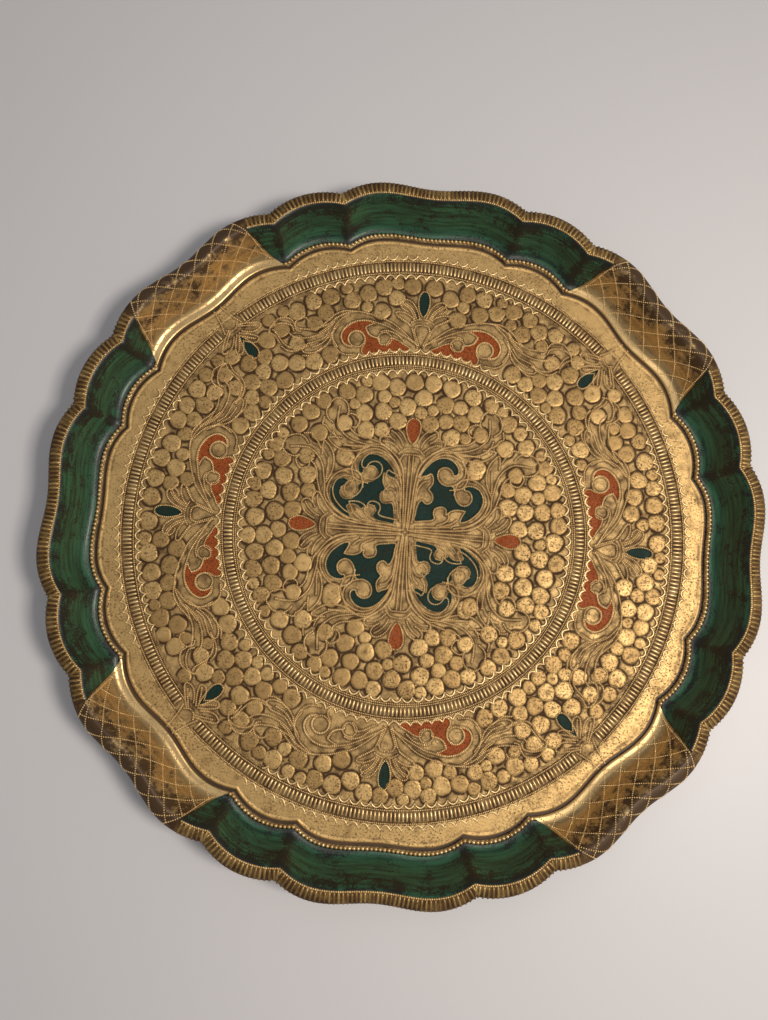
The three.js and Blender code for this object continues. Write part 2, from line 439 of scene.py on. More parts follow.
class NodeBench:
    """Adds nodes to a tree and links them."""

    def __init__(self, tree: bpy.types.NodeTree) -> None:
        """Starts with an empty tree."""
        self.tree = tree
        tree.nodes.clear()

    def add(
        self, kind: str, inputs: dict[int | str, object] | None = None, **settings: object
    ) -> bpy.types.Node:
        """Adds a node.

        Args:
            kind: The node's type name.
            inputs: For each input, by name or number, a value or the socket that feeds it.
            **settings: Properties of the node.

        Returns:
            The node.
        """
        node = self.tree.nodes.new(kind)
        for key, value in settings.items():
            setattr(node, key, value)
        for key, value in (inputs or {}).items():
            if isinstance(value, bpy.types.NodeSocket):
                self.tree.links.new(value, node.inputs[key])
            else:
                node.inputs[key].default_value = value
        return node

    def math(self, operation: str, a: object, b: object = 0.0, c: object = 0.0) -> bpy.types.NodeSocket:
        """Adds a math node.

        Args:
            operation: Name of the operation.
            a: First value or socket.
            b: Second value or socket.
            c: Third value or socket.

        Returns:
            The result's socket.
        """
        return self.add("ShaderNodeMath", {0: a, 1: b, 2: c}, operation=operation).outputs[0]

    def blend(self, share: object, a: object, b: object) -> bpy.types.NodeSocket:
        """Adds a node that mixes two colours.

        Args:
            share: Share of the second colour.
            a: First colour or socket.
            b: Second colour or socket.

        Returns:
            The colour's socket.
        """
        return self.add("ShaderNodeMix", {0: share, 6: a, 7: b}, data_type="RGBA").outputs[2]

    def noise(
        self, vector: bpy.types.NodeSocket, scale: float, detail: float = 3.0, rough: float = 0.5
    ) -> bpy.types.NodeSocket:
        """Adds a noise pattern.

        Args:
            vector: Coordinates that it reads.
            scale: Number of grains in a metre.
            detail: Number of finer layers.
            rough: Strength of the finer layers.

        Returns:
            The pattern's socket, mostly between 0.3 and 0.7.
        """
        inputs = {"Vector": vector, "Scale": scale, "Detail": detail, "Roughness": rough}
        return self.add("ShaderNodeTexNoise", inputs).outputs[0]

    def ramp(
        self, value: bpy.types.NodeSocket, low: float, high: float, start: float = 0.0, end: float = 1.0
    ) -> bpy.types.NodeSocket:
        """Maps a range of values smoothly onto another.

        Args:
            value: Socket of the value.
            low: Value that gives start.
            high: Value that gives end.
            start: First result.
            end: Last result.

        Returns:
            The result's socket.
        """
        inputs = {0: value, 1: low, 2: high, 3: start, 4: end}
        return self.add("ShaderNodeMapRange", inputs, interpolation_type="SMOOTHSTEP").outputs[0]

    def attribute(self, name: str) -> bpy.types.NodeSocket:
        """Adds a node that reads a number stored on the mesh, or 0 where there is none."""
        return self.add("ShaderNodeAttribute", attribute_name=name).outputs["Fac"]

    def stretched(
        self,
        vector: bpy.types.NodeSocket,
        scale: tuple[float, float, float],
        detail: float,
        rough: float = 0.5,
    ) -> bpy.types.NodeSocket:
        """Adds a noise pattern with a grain of its own along each axis.

        Args:
            vector: Coordinates that it reads.
            scale: Number of grains in a metre along each axis.
            detail: Number of finer layers.
            rough: Strength of the finer layers.

        Returns:
            The pattern's socket.
        """
        mapped = self.add("ShaderNodeMapping", {0: vector, 3: scale})
        return self.noise(mapped.outputs[0], 1.0, detail, rough)

    def surface(
        self,
        colour: bpy.types.NodeSocket,
        rough: bpy.types.NodeSocket,
        height: bpy.types.NodeSocket,
        bump: tuple[float, float],
        more: dict[str, object] | None = None,
    ) -> None:
        """Ends a material with a finely uneven surface.

        Args:
            colour: Socket of its colour.
            rough: Socket of its roughness.
            height: Socket of its fine height.
            bump: Strength of that height, and its depth in metres.
            more: Further inputs of the shader, by name.
        """
        strength, distance = bump
        raised = self.add("ShaderNodeBump", {"Strength": strength, "Distance": distance, "Height": height})
        inputs = {"Base Color": colour, "Roughness": rough, "Normal": raised.outputs[0], **(more or {})}
        shader = self.add("ShaderNodeBsdfPrincipled", inputs)
        self.add("ShaderNodeOutputMaterial", {0: shader.outputs[0]})


def start_material(name: str, colour: Colour) -> tuple[bpy.types.Material, NodeBench]:
    """Makes an empty material.

    Args:
        name: Its name.
        colour: Colour that it has in plain views.

    Returns:
        The material and the bench of its nodes.
    """
    material = bpy.data.materials.new(name)
    material.use_nodes = True
    material.diffuse_color = colour
    return material, NodeBench(material.node_tree)


# ---------------------------------------------------------------------------------------------------------
# Finishes
# ---------------------------------------------------------------------------------------------------------


@dataclass(frozen=True)
class GiltFinish:
    """Bronze gilding over gesso, with a brown wash left in the recesses and in worn spots."""

    name: str
    bright: Colour = (0.64, 0.42, 0.17, 1.0)
    dull: Colour = (0.42, 0.26, 0.098, 1.0)
    wash: Colour = (0.060, 0.027, 0.009, 1.0)
    metallic: float = 0.68
    roughness: float = 0.46
    speckle: float = 0.5  # how much of the face carries specks of wash
    grain: float = 0.35  # strength of the fine unevenness
    green: Colour = (0.001, 0.024, 0.015, 1.0)
    red: Colour = (0.34, 0.070, 0.008, 1.0)
    shadow: Colour = (0.004, 0.005, 0.004, 1.0)  # painted shade in the pits of the painted fields

    def material(self) -> bpy.types.Material:
        """Builds the material."""
        material, bench = start_material(self.name, self.bright)
        place = bench.add("ShaderNodeTexCoord").outputs["Object"]
        broad = bench.noise(place, 24.0, 3.0)
        middle = bench.noise(place, 150.0, 4.0, 0.6)
        fine = bench.noise(place, 900.0, 3.0, 0.6)
        tint = bench.attribute("tint")
        tone = bench.math("MULTIPLY_ADD", middle, 0.9, bench.math("MULTIPLY", tint, 0.45))
        gold = bench.blend(bench.ramp(tone, 0.35, 0.85), self.bright, self.dull)
        recess = bench.attribute("patina")
        spots = bench.math("MULTIPLY", bench.ramp(fine, 0.50, 0.66), bench.ramp(broad, 0.26, 0.56))
        spots = bench.math("MULTIPLY", spots, self.speckle)
        uneven = bench.math("MULTIPLY_ADD", middle, 0.9, -0.45)
        worn = bench.math("ADD", bench.math("ADD", recess, uneven), bench.math("MULTIPLY", fine, 0.25))
        covered = bench.math("MAXIMUM", bench.ramp(worn, 0.22, 0.95), spots)
        colour = bench.blend(covered, gold, self.wash)
        painted: object = 0.0
        for paint, shade in ((Paint.GREEN, self.green), (Paint.RED, self.red)):
            share = bench.ramp(bench.attribute(paint.value), 0.35, 0.65)
            scratch = bench.blend(bench.ramp(middle, 0.50, 0.66, 0.0, 0.25), shade, self.wash)
            # dark flecks of the shadow colour: painted shade in the pits of the paint
            pit_shadow_paint = bench.blend(bench.ramp(fine, 0.48, 0.60, 0.0, 0.6), scratch, self.shadow)
            colour = bench.blend(share, colour, pit_shadow_paint)
            painted = bench.math("MAXIMUM", painted, share)
        dull = bench.math("MAXIMUM", bench.math("MULTIPLY", covered, 0.8), painted)
        metal = bench.math("MULTIPLY", bench.math("SUBTRACT", 1.0, dull), self.metallic)
        rough = bench.math("MULTIPLY_ADD", middle, 0.2, self.roughness - 0.1)
        rough = bench.math("MULTIPLY_ADD", covered, 0.25, rough)
        rough = bench.math("ADD", rough, bench.math("MULTIPLY", painted, 0.08))
        height = bench.math("MULTIPLY_ADD", middle, 0.5, bench.math("MULTIPLY", fine, 0.5))
        more = {"Metallic": metal, "Specular IOR Level": 0.3}
        bench.surface(colour, rough, height, (self.grain, 0.0004), more)
        return material


@dataclass(frozen=True)
class PanelGiltFinish:
    """Burnished gold at the foot of a lattice panel that goes over into a brown wash at the nose."""

    name: str
    bright: Colour = (0.66, 0.46, 0.21, 1.0)
    dull: Colour = (0.46, 0.31, 0.14, 1.0)
    wash: Colour = (0.050, 0.022, 0.008, 1.0)

    def material(self) -> bpy.types.Material:
        """Builds the material."""
        material, bench = start_material(self.name, self.bright)
        coord = bench.add("ShaderNodeTexCoord")
        place = coord.outputs["Object"]
        strokes = bench.stretched(coord.outputs["UV"], (60.0, 420.0, 1.0), 4.0, 0.6)
        blotch = bench.noise(place, 130.0, 5.0, 0.7)
        fine = bench.noise(place, 1000.0, 2.0)
        outwards = bench.attribute("outwards")
        gold = bench.blend(bench.ramp(strokes, 0.35, 0.7), self.bright, self.dull)
        worn = bench.math("ADD", outwards, bench.math("MULTIPLY_ADD", blotch, 1.9, -0.95))
        covered = bench.ramp(worn, 0.24, 0.60, 0.0, 0.95)
        specks = bench.math("MULTIPLY", bench.ramp(fine, 0.58, 0.68), 0.5)
        covered = bench.math("MAXIMUM", covered, specks)
        colour = bench.blend(covered, gold, self.wash)
        metal = bench.math("MULTIPLY_ADD", covered, -0.6, 0.85)
        rough = bench.math("MULTIPLY_ADD", covered, 0.22, 0.33)
        height = bench.math("MULTIPLY_ADD", strokes, 0.6, bench.math("MULTIPLY", fine, 0.4))
        bench.surface(colour, rough, height, (0.3, 0.0003), {"Metallic": metal})
        return material


@dataclass(frozen=True)
class GreenPaintFinish:
    """Dark green paint under a shellac gloss, with black brush streaks along the rim."""

    name: str
    light: Colour = (0.023, 0.105, 0.050, 1.0)
    deep: Colour = (0.006, 0.032, 0.015, 1.0)
    black: Colour = (0.006, 0.006, 0.005, 1.0)

    def material(self) -> bpy.types.Material:
        """Builds the material."""
        material, bench = start_material(self.name, self.light)
        coord = bench.add("ShaderNodeTexCoord")
        place = coord.outputs["Object"]
        hairs = bench.stretched(coord.outputs["UV"], (32.0, 420.0, 1.0), 5.0, 0.65)
        bands = bench.stretched(coord.outputs["UV"], (20.0, 130.0, 1.0), 3.0, 0.6)
        blotch = bench.noise(place, 120.0, 6.0, 0.72)
        fine = bench.noise(place, 1100.0, 2.0)
        # the "shade" attribute holds painted shade at the cove's foot and in its creases, together with
        # patina and the paint's black streaks
        shade = bench.attribute("shade")
        green = bench.blend(bench.ramp(hairs, 0.35, 0.65), self.light, self.deep)
        dark = bench.math("ADD", bench.math("MULTIPLY_ADD", bands, 1.5, -0.75), shade)
        dark = bench.math("ADD", dark, bench.math("MULTIPLY_ADD", blotch, 2.8, -1.4))
        dark = bench.math("ADD", dark, bench.math("MULTIPLY_ADD", hairs, 0.6, -0.3))
        dark = bench.math("ADD", dark, bench.math("MULTIPLY_ADD", fine, 1.6, -0.8))
        colour = bench.blend(bench.ramp(dark, 0.02, 0.42, 0.0, 0.94), green, self.black)
        rough = bench.math("MULTIPLY_ADD", hairs, 0.40, 0.24)
        height = bench.math("MULTIPLY_ADD", hairs, 0.4, bench.math("MULTIPLY", fine, 0.6))
        bench.surface(colour, rough, height, (0.8, 0.0004), {"Coat Weight": 0.15, "Coat Roughness": 0.24})
        return material


@dataclass(frozen=True)
class WashFinish:
    """Umber wash over the wooden back of the rim, worn to gold near the nose."""

    name: str
    umber: Colour = (0.085, 0.045, 0.020, 1.0)
    dark: Colour = (0.030, 0.016, 0.008, 1.0)
    gold: Colour = (0.40, 0.25, 0.08, 1.0)

    def material(self) -> bpy.types.Material:
        """Builds the material."""
        material, bench = start_material(self.name, self.umber)
        coord = bench.add("ShaderNodeTexCoord")
        place = coord.outputs["Object"]
        strokes = bench.stretched(coord.outputs["UV"], (30.0, 500.0, 1.0), 5.0, 0.65)
        blotch = bench.noise(place, 70.0, 4.0, 0.6)
        wood = bench.blend(bench.ramp(strokes, 0.32, 0.68), self.umber, self.dark)
        height = bench.add("ShaderNodeSeparateXYZ", {0: place}).outputs[2]
        worn = bench.math("MULTIPLY", bench.ramp(height, 0.017, 0.027), bench.ramp(blotch, 0.42, 0.62))
        colour = bench.blend(worn, wood, self.gold)
        rough = bench.math("MULTIPLY_ADD", blotch, 0.3, 0.42)
        bench.surface(colour, rough, strokes, (0.3, 0.0004), {"Metallic": bench.math("MULTIPLY", worn, 0.7)})
        return material


@dataclass(frozen=True)
class WoodFinish:
    """Wood with its grain along one of the tray's axes."""

    name: str
    light: Colour
    dark: Colour
    across: tuple[float, float, float] = (14.0, 260.0, 260.0)
    roughness: float = 0.6

    def material(self) -> bpy.types.Material:
        """Builds the material."""
        material, bench = start_material(self.name, self.light)
        place = bench.add("ShaderNodeTexCoord").outputs["Object"]
        grain = bench.stretched(place, self.across, 5.0, 0.6)
        pore = bench.stretched(place, tuple(4 * a for a in self.across), 2.0)
        cloud = bench.noise(place, 12.0, 3.0)
        colour = bench.blend(bench.ramp(grain, 0.34, 0.66), self.light, self.dark)
        colour = bench.blend(bench.ramp(pore, 0.58, 0.70, 0.0, 0.55), colour, self.dark)
        colour = bench.blend(bench.ramp(cloud, 0.35, 0.7, 0.0, 0.35), colour, self.dark)
        rough = bench.math("MULTIPLY_ADD", grain, 0.2, self.roughness - 0.1)
        bench.surface(colour, rough, grain, (0.3, 0.0003))
        return material


# ---------------------------------------------------------------------------------------------------------
# Geometry node trees
# ---------------------------------------------------------------------------------------------------------


class Pattern:
    """A geometry node tree with named inputs that turns a plain object into a finished piece."""

    def __init__(self, name: str) -> None:
        """Starts the tree with its geometry and material inputs."""
        self.tree = bpy.data.node_groups.new(name, "GeometryNodeTree")
        self.bench = NodeBench(self.tree)
        self.given: dict[str, str] = {}
        self.tree.interface.new_socket("Geometry", in_out="OUTPUT", socket_type="NodeSocketGeometry")
        self.source = self.bench.add("NodeGroupInput")
        self.input("Geometry", "NodeSocketGeometry")
        self.input("Finish", "NodeSocketMaterial")

    def input(self, name: str, kind: str) -> bpy.types.NodeSocket:
        """Adds a named input.

        Args:
            name: Its name.
            kind: Its socket type.

        Returns:
            The socket that the tree reads.
        """
        socket = self.tree.interface.new_socket(name, in_out="INPUT", socket_type=kind)
        self.given[name] = socket.identifier
        return self.source.outputs[name]

    def close(self, geometry: bpy.types.NodeSocket) -> None:
        """Ends the tree: instances are made real, shaded smooth and dressed."""
        real = self.bench.add("GeometryNodeRealizeInstances", {0: geometry})
        smooth = self.bench.add("GeometryNodeSetShadeSmooth", {0: real.outputs[0]})
        inputs = {0: smooth.outputs[0], "Material": self.source.outputs["Finish"]}
        dressed = self.bench.add("GeometryNodeSetMaterial", inputs)
        self.bench.add("NodeGroupOutput", {0: dressed.outputs[0]})

    def close_tinted(self, copies: bpy.types.NodeSocket, seed: object) -> None:
        """Gives every copy a random tint, and ends the tree.

        Args:
            copies: Socket of the copies.
            seed: Seed of the tints, or its socket.
        """
        shade = self.bench.add("FunctionNodeRandomValue", {"Seed": seed})
        inputs = {0: copies, "Name": "tint", "Value": shade.outputs[1]}
        tinted = self.bench.add("GeometryNodeStoreNamedAttribute", inputs, domain="INSTANCE")
        self.close(tinted.outputs[0])

    def make(self, name: str, carrier: bpy.types.Object, values: dict[str, object]) -> bpy.types.Object:
        """Runs the tree on an object and keeps the result as a plain mesh.

        Args:
            name: Name of the new piece.
            carrier: Object that carries the tree. It is removed afterwards.
            values: Value of each named input.

        Returns:
            The new piece.
        """
        modifier = carrier.modifiers.new(self.tree.name, "NODES")
        modifier.node_group = self.tree
        for key, value in values.items():
            modifier[self.given[key]] = value
        carrier.update_tag()
        bpy.context.view_layer.update()
        evaluated = carrier.evaluated_get(bpy.context.evaluated_depsgraph_get())
        mesh = bpy.data.meshes.new_from_object(evaluated)
        mesh.name = name
        data = carrier.data
        bpy.data.objects.remove(carrier)
        (bpy.data.curves if isinstance(data, bpy.types.Curve) else bpy.data.meshes).remove(data)
        return new_object(name, mesh)


class BeadString(Pattern):
    """Small domed beads set close together along every line of a curve."""

    def __init__(self) -> None:
        """Builds the tree."""
        super().__init__("bead_string")
        pitch, width, height = (self.input(name, "NodeSocketFloat") for name in ("Pitch", "Width", "Height"))
        roundness = self.input("Roundness", "NodeSocketInt")
        bench = self.bench
        inputs = {0: self.source.outputs["Geometry"], "Length": pitch}
        spaced = bench.add("GeometryNodeResampleCurve", inputs, mode="LENGTH")
        bead = bench.add("GeometryNodeMeshIcoSphere", {"Radius": 0.5, "Subdivisions": roundness})
        size = bench.add("ShaderNodeCombineXYZ", {0: width, 1: width, 2: height})
        inputs = {0: spaced.outputs[0], "Instance": bead.outputs[0], "Scale": size.outputs[0]}
        row = bench.add("GeometryNodeInstanceOnPoints", inputs)
        self.close_tinted(row.outputs[0], 7)

    def string(
        self,
        name: str,
        carrier: bpy.types.Object,
        pitch: float,
        size: tuple[float, float],
        finish: bpy.types.Material,
        roundness: int = 1,
    ) -> bpy.types.Object:
        """Strings beads along the lines of a curve object.

        Args:
            name: Name of the new piece.
            carrier: The curve object, which is removed afterwards.
            pitch: Distance between the beads, in metres.
            size: Width and height of a bead, in metres.
            finish: Material of the beads.
            roundness: How finely a bead is divided.

        Returns:
            The new piece.
        """
        width, height = size
        values = {"Pitch": pitch, "Width": width, "Height": height, "Roundness": roundness, "Finish": finish}
        return self.make(name, carrier, values)


class Placing(Pattern):
    """Copies of one small shape, each at a point with its own turn and size."""

    def __init__(self) -> None:
        """Builds the tree."""
        super().__init__("placing")
        shape = self.input("Shape", "NodeSocketObject")
        seed = self.input("Seed", "NodeSocketInt")
        bench = self.bench
        read = bench.add("GeometryNodeObjectInfo", {0: shape})
        turn = bench.add("GeometryNodeInputNamedAttribute", {0: "turn"}, data_type="FLOAT")
        size = bench.add("GeometryNodeInputNamedAttribute", {0: "size"}, data_type="FLOAT_VECTOR")
        spin = bench.add("ShaderNodeCombineXYZ", {2: turn.outputs[0]})
        points = bench.add("GeometryNodeMeshToPoints", {0: self.source.outputs["Geometry"]})
        placed = bench.add(
            "GeometryNodeInstanceOnPoints",
            {
                0: points.outputs[0],
                "Instance": read.outputs["Geometry"],
                "Rotation": spin.outputs[0],
                "Scale": size.outputs[0],
            },
        )
        self.close_tinted(placed.outputs[0], seed)

    def place(
        self,
        name: str,
        shape: bpy.types.Mesh,
        spots: np.ndarray,
        turns: np.ndarray,
        sizes: np.ndarray,
        finish: bpy.types.Material,
    ) -> bpy.types.Object:
        """Places copies of a shape.

        Args:
            name: Name of the new piece.
            shape: Mesh of the shape, which is removed afterwards.
            spots: Places in millimetres, one row each.
            turns: Turn of each copy about the vertical, in radians.
            sizes: Size of each copy along its own three axes, one row each.
            finish: Material of the copies.

        Returns:
            The new piece.
        """
        carrier_mesh = mesh_from(name + "_spots", spots, [])
        store(carrier_mesh, "turn", turns)
        store_vectors(carrier_mesh, "size", sizes)
        original = new_object(name + "_shape", shape)
        values = {"Shape": original, "Seed": len(spots), "Finish": finish}
        made = self.make(name, new_object(name + "_carrier", carrier_mesh), values)
        bpy.data.objects.remove(original)
        bpy.data.meshes.remove(shape)
        return made


class Lace(Pattern):
    """A fine cord that runs round a circle in equal arches, open at the four corners of the tray."""

    STEPS = 8

    def __init__(self) -> None:
        """Builds the tree."""
        super().__init__("lace")
        bench = self.bench
        points = self.input("Points", "NodeSocketInt")
        names = ("Radius", "Rise", "Level", "Width", "Opening")
        radius, rise, level, width, opening = (self.input(name, "NodeSocketFloat") for name in names)
        circle = bench.add("GeometryNodeMeshCircle", {"Vertices": points, "Radius": 1.0})
        index = bench.add("GeometryNodeInputIndex").outputs[0]
        phase = bench.math("MODULO", bench.math("DIVIDE", index, float(self.STEPS)), 1.0)
        bulge = bench.math("POWER", bench.math("SINE", bench.math("MULTIPLY", phase, math.pi)), 0.7)
        reach = bench.math("MULTIPLY_ADD", rise, bulge, radius)
        place = bench.add("GeometryNodeInputPosition").outputs[0]
        flat = bench.add("ShaderNodeVectorMath", {0: place, 3: reach}, operation="SCALE")
        parts = bench.add("ShaderNodeSeparateXYZ", {0: flat.outputs[0]})
        target = bench.add("ShaderNodeCombineXYZ", {0: parts.outputs[0], 1: parts.outputs[1], 2: level})
        moved = bench.add("GeometryNodeSetPosition", {0: circle.outputs[0], "Position": target.outputs[0]})
        x, y = (bench.math("ABSOLUTE", parts.outputs[k]) for k in (0, 1))
        aside = bench.math("ABSOLUTE", bench.math("SUBTRACT", x, y))
        near = bench.math("LESS_THAN", aside, bench.math("MULTIPLY", opening, math.sqrt(2.0)))
        opened = bench.add("GeometryNodeDeleteGeometry", {0: moved.outputs[0], 1: near}, domain="POINT")
        lines = bench.add("GeometryNodeMeshToCurve", {0: opened.outputs[0]})
        half = bench.math("MULTIPLY", width, 0.5)
        profile = bench.add("GeometryNodeCurvePrimitiveCircle", {"Resolution": 5, "Radius": half})
        inputs = {0: lines.outputs[0], "Profile Curve": profile.outputs[0], "Fill Caps": True}
        cord = bench.add("GeometryNodeCurveToMesh", inputs)
        self.close(cord.outputs[0])


# ---------------------------------------------------------------------------------------------------------
# Ornament of the floor
# ---------------------------------------------------------------------------------------------------------


def smooth_line(points: Sequence[Point], step: float = 0.5, closed: bool = False) -> np.ndarray:
    """Draws a smooth line through points.

    Args:
        points: Points that the line passes, in millimetres.
        step: Distance between the points of the result.
        closed: Whether the line returns to its start.

    Returns:
        Points on the line, one row each.
    """
    p = np.array(points, float)
    p = np.vstack([p[-1], p, p[0], p[1]]) if closed else np.vstack([2 * p[0] - p[1], p, 2 * p[-1] - p[-2]])
    pieces = []
    for k in range(1, len(p) - 2):
        a, b, c, d = p[k - 1 : k + 3]
        count = max(2, int(math.ceil(np.hypot(*(c - b)) / step)))
        t = (np.arange(count) / count)[:, None]
        square, cube = 2 * a - 5 * b + 4 * c - d, 3 * b - a - 3 * c + d
        pieces.append(0.5 * (2 * b + (c - a) * t + square * t**2 + cube * t**3))
    return np.vstack([*pieces, p[-2:-1]])


def ring(x: float, y: float, radius: float, start: float = 0.0, end: float = 360.0) -> list[Point]:
    """Points of an arc.

    Args:
        x: Middle of the arc, across.
        y: Middle of the arc, up.
        radius: Radius of the arc.
        start: First direction, in degrees.
        end: Last direction, in degrees.

    Returns:
        The points.
    """
    angles = np.radians(np.linspace(start, end, max(4, int(abs(end - start) / 30))))
    return [(x + radius * math.cos(a), y + radius * math.sin(a)) for a in angles]


class Symmetry(Enum):
    """How a line of the ornament is repeated over the tray."""

    QUARTERS = "mirrored in both axes"
    EIGHTHS = "mirrored in both axes and in the diagonals"


@dataclass(frozen=True)
class Motif:
    """Lines that are drawn in a frame of their own and repeated over the tray."""

    lines: tuple[tuple[Point, ...], ...]
    symmetry: Symmetry = Symmetry.EIGHTHS
    turn: float = 0.0  # turn of the motif's own frame, in degrees anticlockwise

    def copies(self, closed: bool = False) -> list[np.ndarray]:
        """Gives every copy of every line, smoothed.

        Args:
            closed: Whether each line returns to its start.

        Returns:
            The lines.
        """
        made = []
        for line in self.lines:
            base = turned(smooth_line(line, closed=closed), self.turn)
            swaps = (False, True) if self.symmetry is Symmetry.EIGHTHS else (False,)
            for swap in swaps:
                flipped = base[:, ::-1] if swap else base
                made += [flipped * (sx, sy) for sx in (1, -1) for sy in (1, -1)]
        return made


CENTRE_FIELD: tuple[Point, ...] = (
    (4.8, 7.0), (5.1, 11), (5.6, 15), (6.8, 18.3), (8.4, 19.2), (10.3, 17.6), (12.6, 17.8), (14.3, 20),
    (14.0, 23),
    (12.3, 25.2), (11.6, 26.2), (13.4, 28.8), (13.9, 31.5), (13.2, 34.2), (12.2, 35.2), (10.6, 34.2),
    (8.4, 33.4),
    (6.3, 32.6), (7.0, 35.2), (9.2, 38.6), (12.5, 42.3), (16.5, 44.6), (21, 45), (25, 43.4), (27.8, 40),
    (28.2, 37), (27.2, 35.4), (25.4, 35.4), (24.6, 37.2), (22.8, 39), (20, 39.6), (17.4, 38.4), (16.2, 36),
    (16.6, 32.8), (18.6, 30.2), (21.8, 28.9), (24.6, 29.2), (26.4, 27.6), (26.8, 24.5), (28, 21.2),
    (30.2, 18.8),
    (32.8, 18.1), (35.4, 19.2), (37, 21.8), (36.6, 24.8), (34.8, 26.9), (32.6, 27.2), (32.2, 28.6),
    (34.2, 29.8),
    (38, 29.6), (41.4, 27.6), (43.4, 23.8), (43.5, 19.8), (41.8, 15.6), (38.6, 12), (34.8, 9.2), (31.4, 8.4),
    (31.6, 10.6), (33, 13.6), (33.6, 15), (31, 15.4), (28, 15.3), (25.4, 14.3), (23.8, 12.8), (22.6, 12.2),
    (22.8, 14.4), (21.2, 16.2), (18.6, 16.2), (16.2, 15), (15.4, 12.4), (16.2, 9.6), (14.6, 8.2), (10, 7.4),
)
DROP_CENTRE: tuple[Point, ...] = (
    (51.5, 0), (53, 1.5), (56, 3.0), (60, 4.1), (63.5, 3.9), (65.8, 2.6), (66.7, 1.2), (66.9, 0),
)
DROP_SIDE: tuple[Point, ...] = ((0, 127.5), (2.2, 131), (3.3, 136), (3, 140.5), (1.5, 143.3), (0, 143.8))
DROP_CORNER: tuple[Point, ...] = (
    (0, 134), (2, 134.8), (3.3, 138), (3, 142), (2, 146), (0.8, 149.5), (0, 151),
)
SCROLL_FIELD: tuple[Point, ...] = (
    (6, 108.5), (10, 110.5), (14, 112.8), (18, 113.5), (19.2, 111), (21.5, 109.2), (24.3, 110), (25, 113),
    (28, 113.3), (31, 114.5), (33, 117.5), (33, 119), (30.5, 120.8), (28.5, 121.7), (33, 122.8), (39, 121.8),
    (44.5, 118), (47, 113.5), (46, 109), (43, 107), (40.8, 107.2), (42.8, 109.5), (42.8, 113), (40, 116),
    (36, 116), (33.3, 113), (33, 109), (34.5, 105.5), (33.5, 102.5), (30, 102), (28, 103.5), (24, 104.3),
    (18, 105.5), (12, 106.3), (7, 107),
)

CENTRE_LINES = Motif(
    (
        ((12, 47), (17, 49.5), (22, 49.5), (27, 47.5), (30.5, 43.5), (32.3, 38.5), (31.5, 34.5),
         (28.5, 31), (25, 29.3)),
        ((3.5, 14), (4, 22), (5, 29), (7.5, 32.3)),
        ((5, 25), (8, 29.5), (11.5, 31)),
        ((20, 5), (26, 7), (29, 9.5)),
        ((18, 5.5), (23, 8), (24.5, 10.5), (24, 12.5)),
        ((28, 47.3), (33, 47.3), (38, 48), (43, 50.5), (46, 54), (47, 57)),
    ),
    Symmetry.QUARTERS,
)
ARM_LINES = Motif(
    (
        ((26.5, 24), (28, 30.5), (31, 33), (35.5, 33.8), (40, 32.3), (43.5, 29.5), (46, 25.5), (47, 21),
         (46.3, 17.5),
         (44.3, 13.5), (41.5, 10.2), (37.5, 7.5), (33, 5.8), (28, 4.5)),
        ((30, 3.5), (36, 4.3), (40, 5.8), (43.5, 8.5), (46.5, 12), (49, 15.8), (51, 19.3), (52, 22.5),
         (53.3, 27),
         (53.6, 30), (54.5, 33), (56.5, 35.8), (58.8, 36.8), (58.6, 34), (60.5, 32.3), (63.5, 32), (65.5, 34),
         (66.5, 37), (65, 39.5)),
        ((33, 5), (39, 8), (43, 11), (46.5, 14.5), (48.3, 18), (48.5, 22.5), (49.2, 27), (50, 31),
         (50.5, 33.5),
         (52.5, 38), (56, 42), (60, 44.3), (65, 44.5), (70, 44)),
        ((48, 25), (46.5, 28), (45, 32), (44.5, 36), (45, 41), (46.5, 44.5), (48.5, 47), (51, 49.2),
         (51.6, 47),
         (51.8, 44.5), (51.7, 41.5)),
        ((53, 45), (55, 48.5), (58, 51), (59, 53), (63, 52.5)),
        ((47.5, 39.5), (47.6, 36), (48, 31), (48, 27)),
        ((60.5, 47.5), (62.5, 50), (66, 51.5), (71, 50.5), (74.5, 47), (75, 43.5), (72.5, 40), (68, 38.6),
         (65, 39.3)),
        ((49.8, 16.5), (51.2, 18.6), (53.5, 19), (54.7, 17.3), (54.6, 13.5), (53, 10.5)),
        ((52, 17), (51.8, 13.5), (50, 9.8), (47.5, 7.2)),
        ((54.8, 13), (57, 14.6), (59.5, 14.2), (60.7, 12), (59.5, 8.5), (57, 5.8), (53, 3.6)),
        ((58.5, 12.5), (56.5, 9.5), (53.5, 6.8), (50.5, 5.3)),
        ((42, 6.3), (45, 4.3), (45.3, 0)),
        ((45.5, 7.3), (48.5, 4), (49.2, 0)),
        ((1.5, 1.2), (10, 2.0), (20, 2.6), (30, 3.4), (37, 4.8), (43, 8)),
        ((3, 0.7), (20, 0.9), (35, 1.1), (44, 1.2)),
        ((6, 3.4), (12, 3.9), (18, 4.3), (25, 5.2)),
        DROP_CENTRE,
    )
)
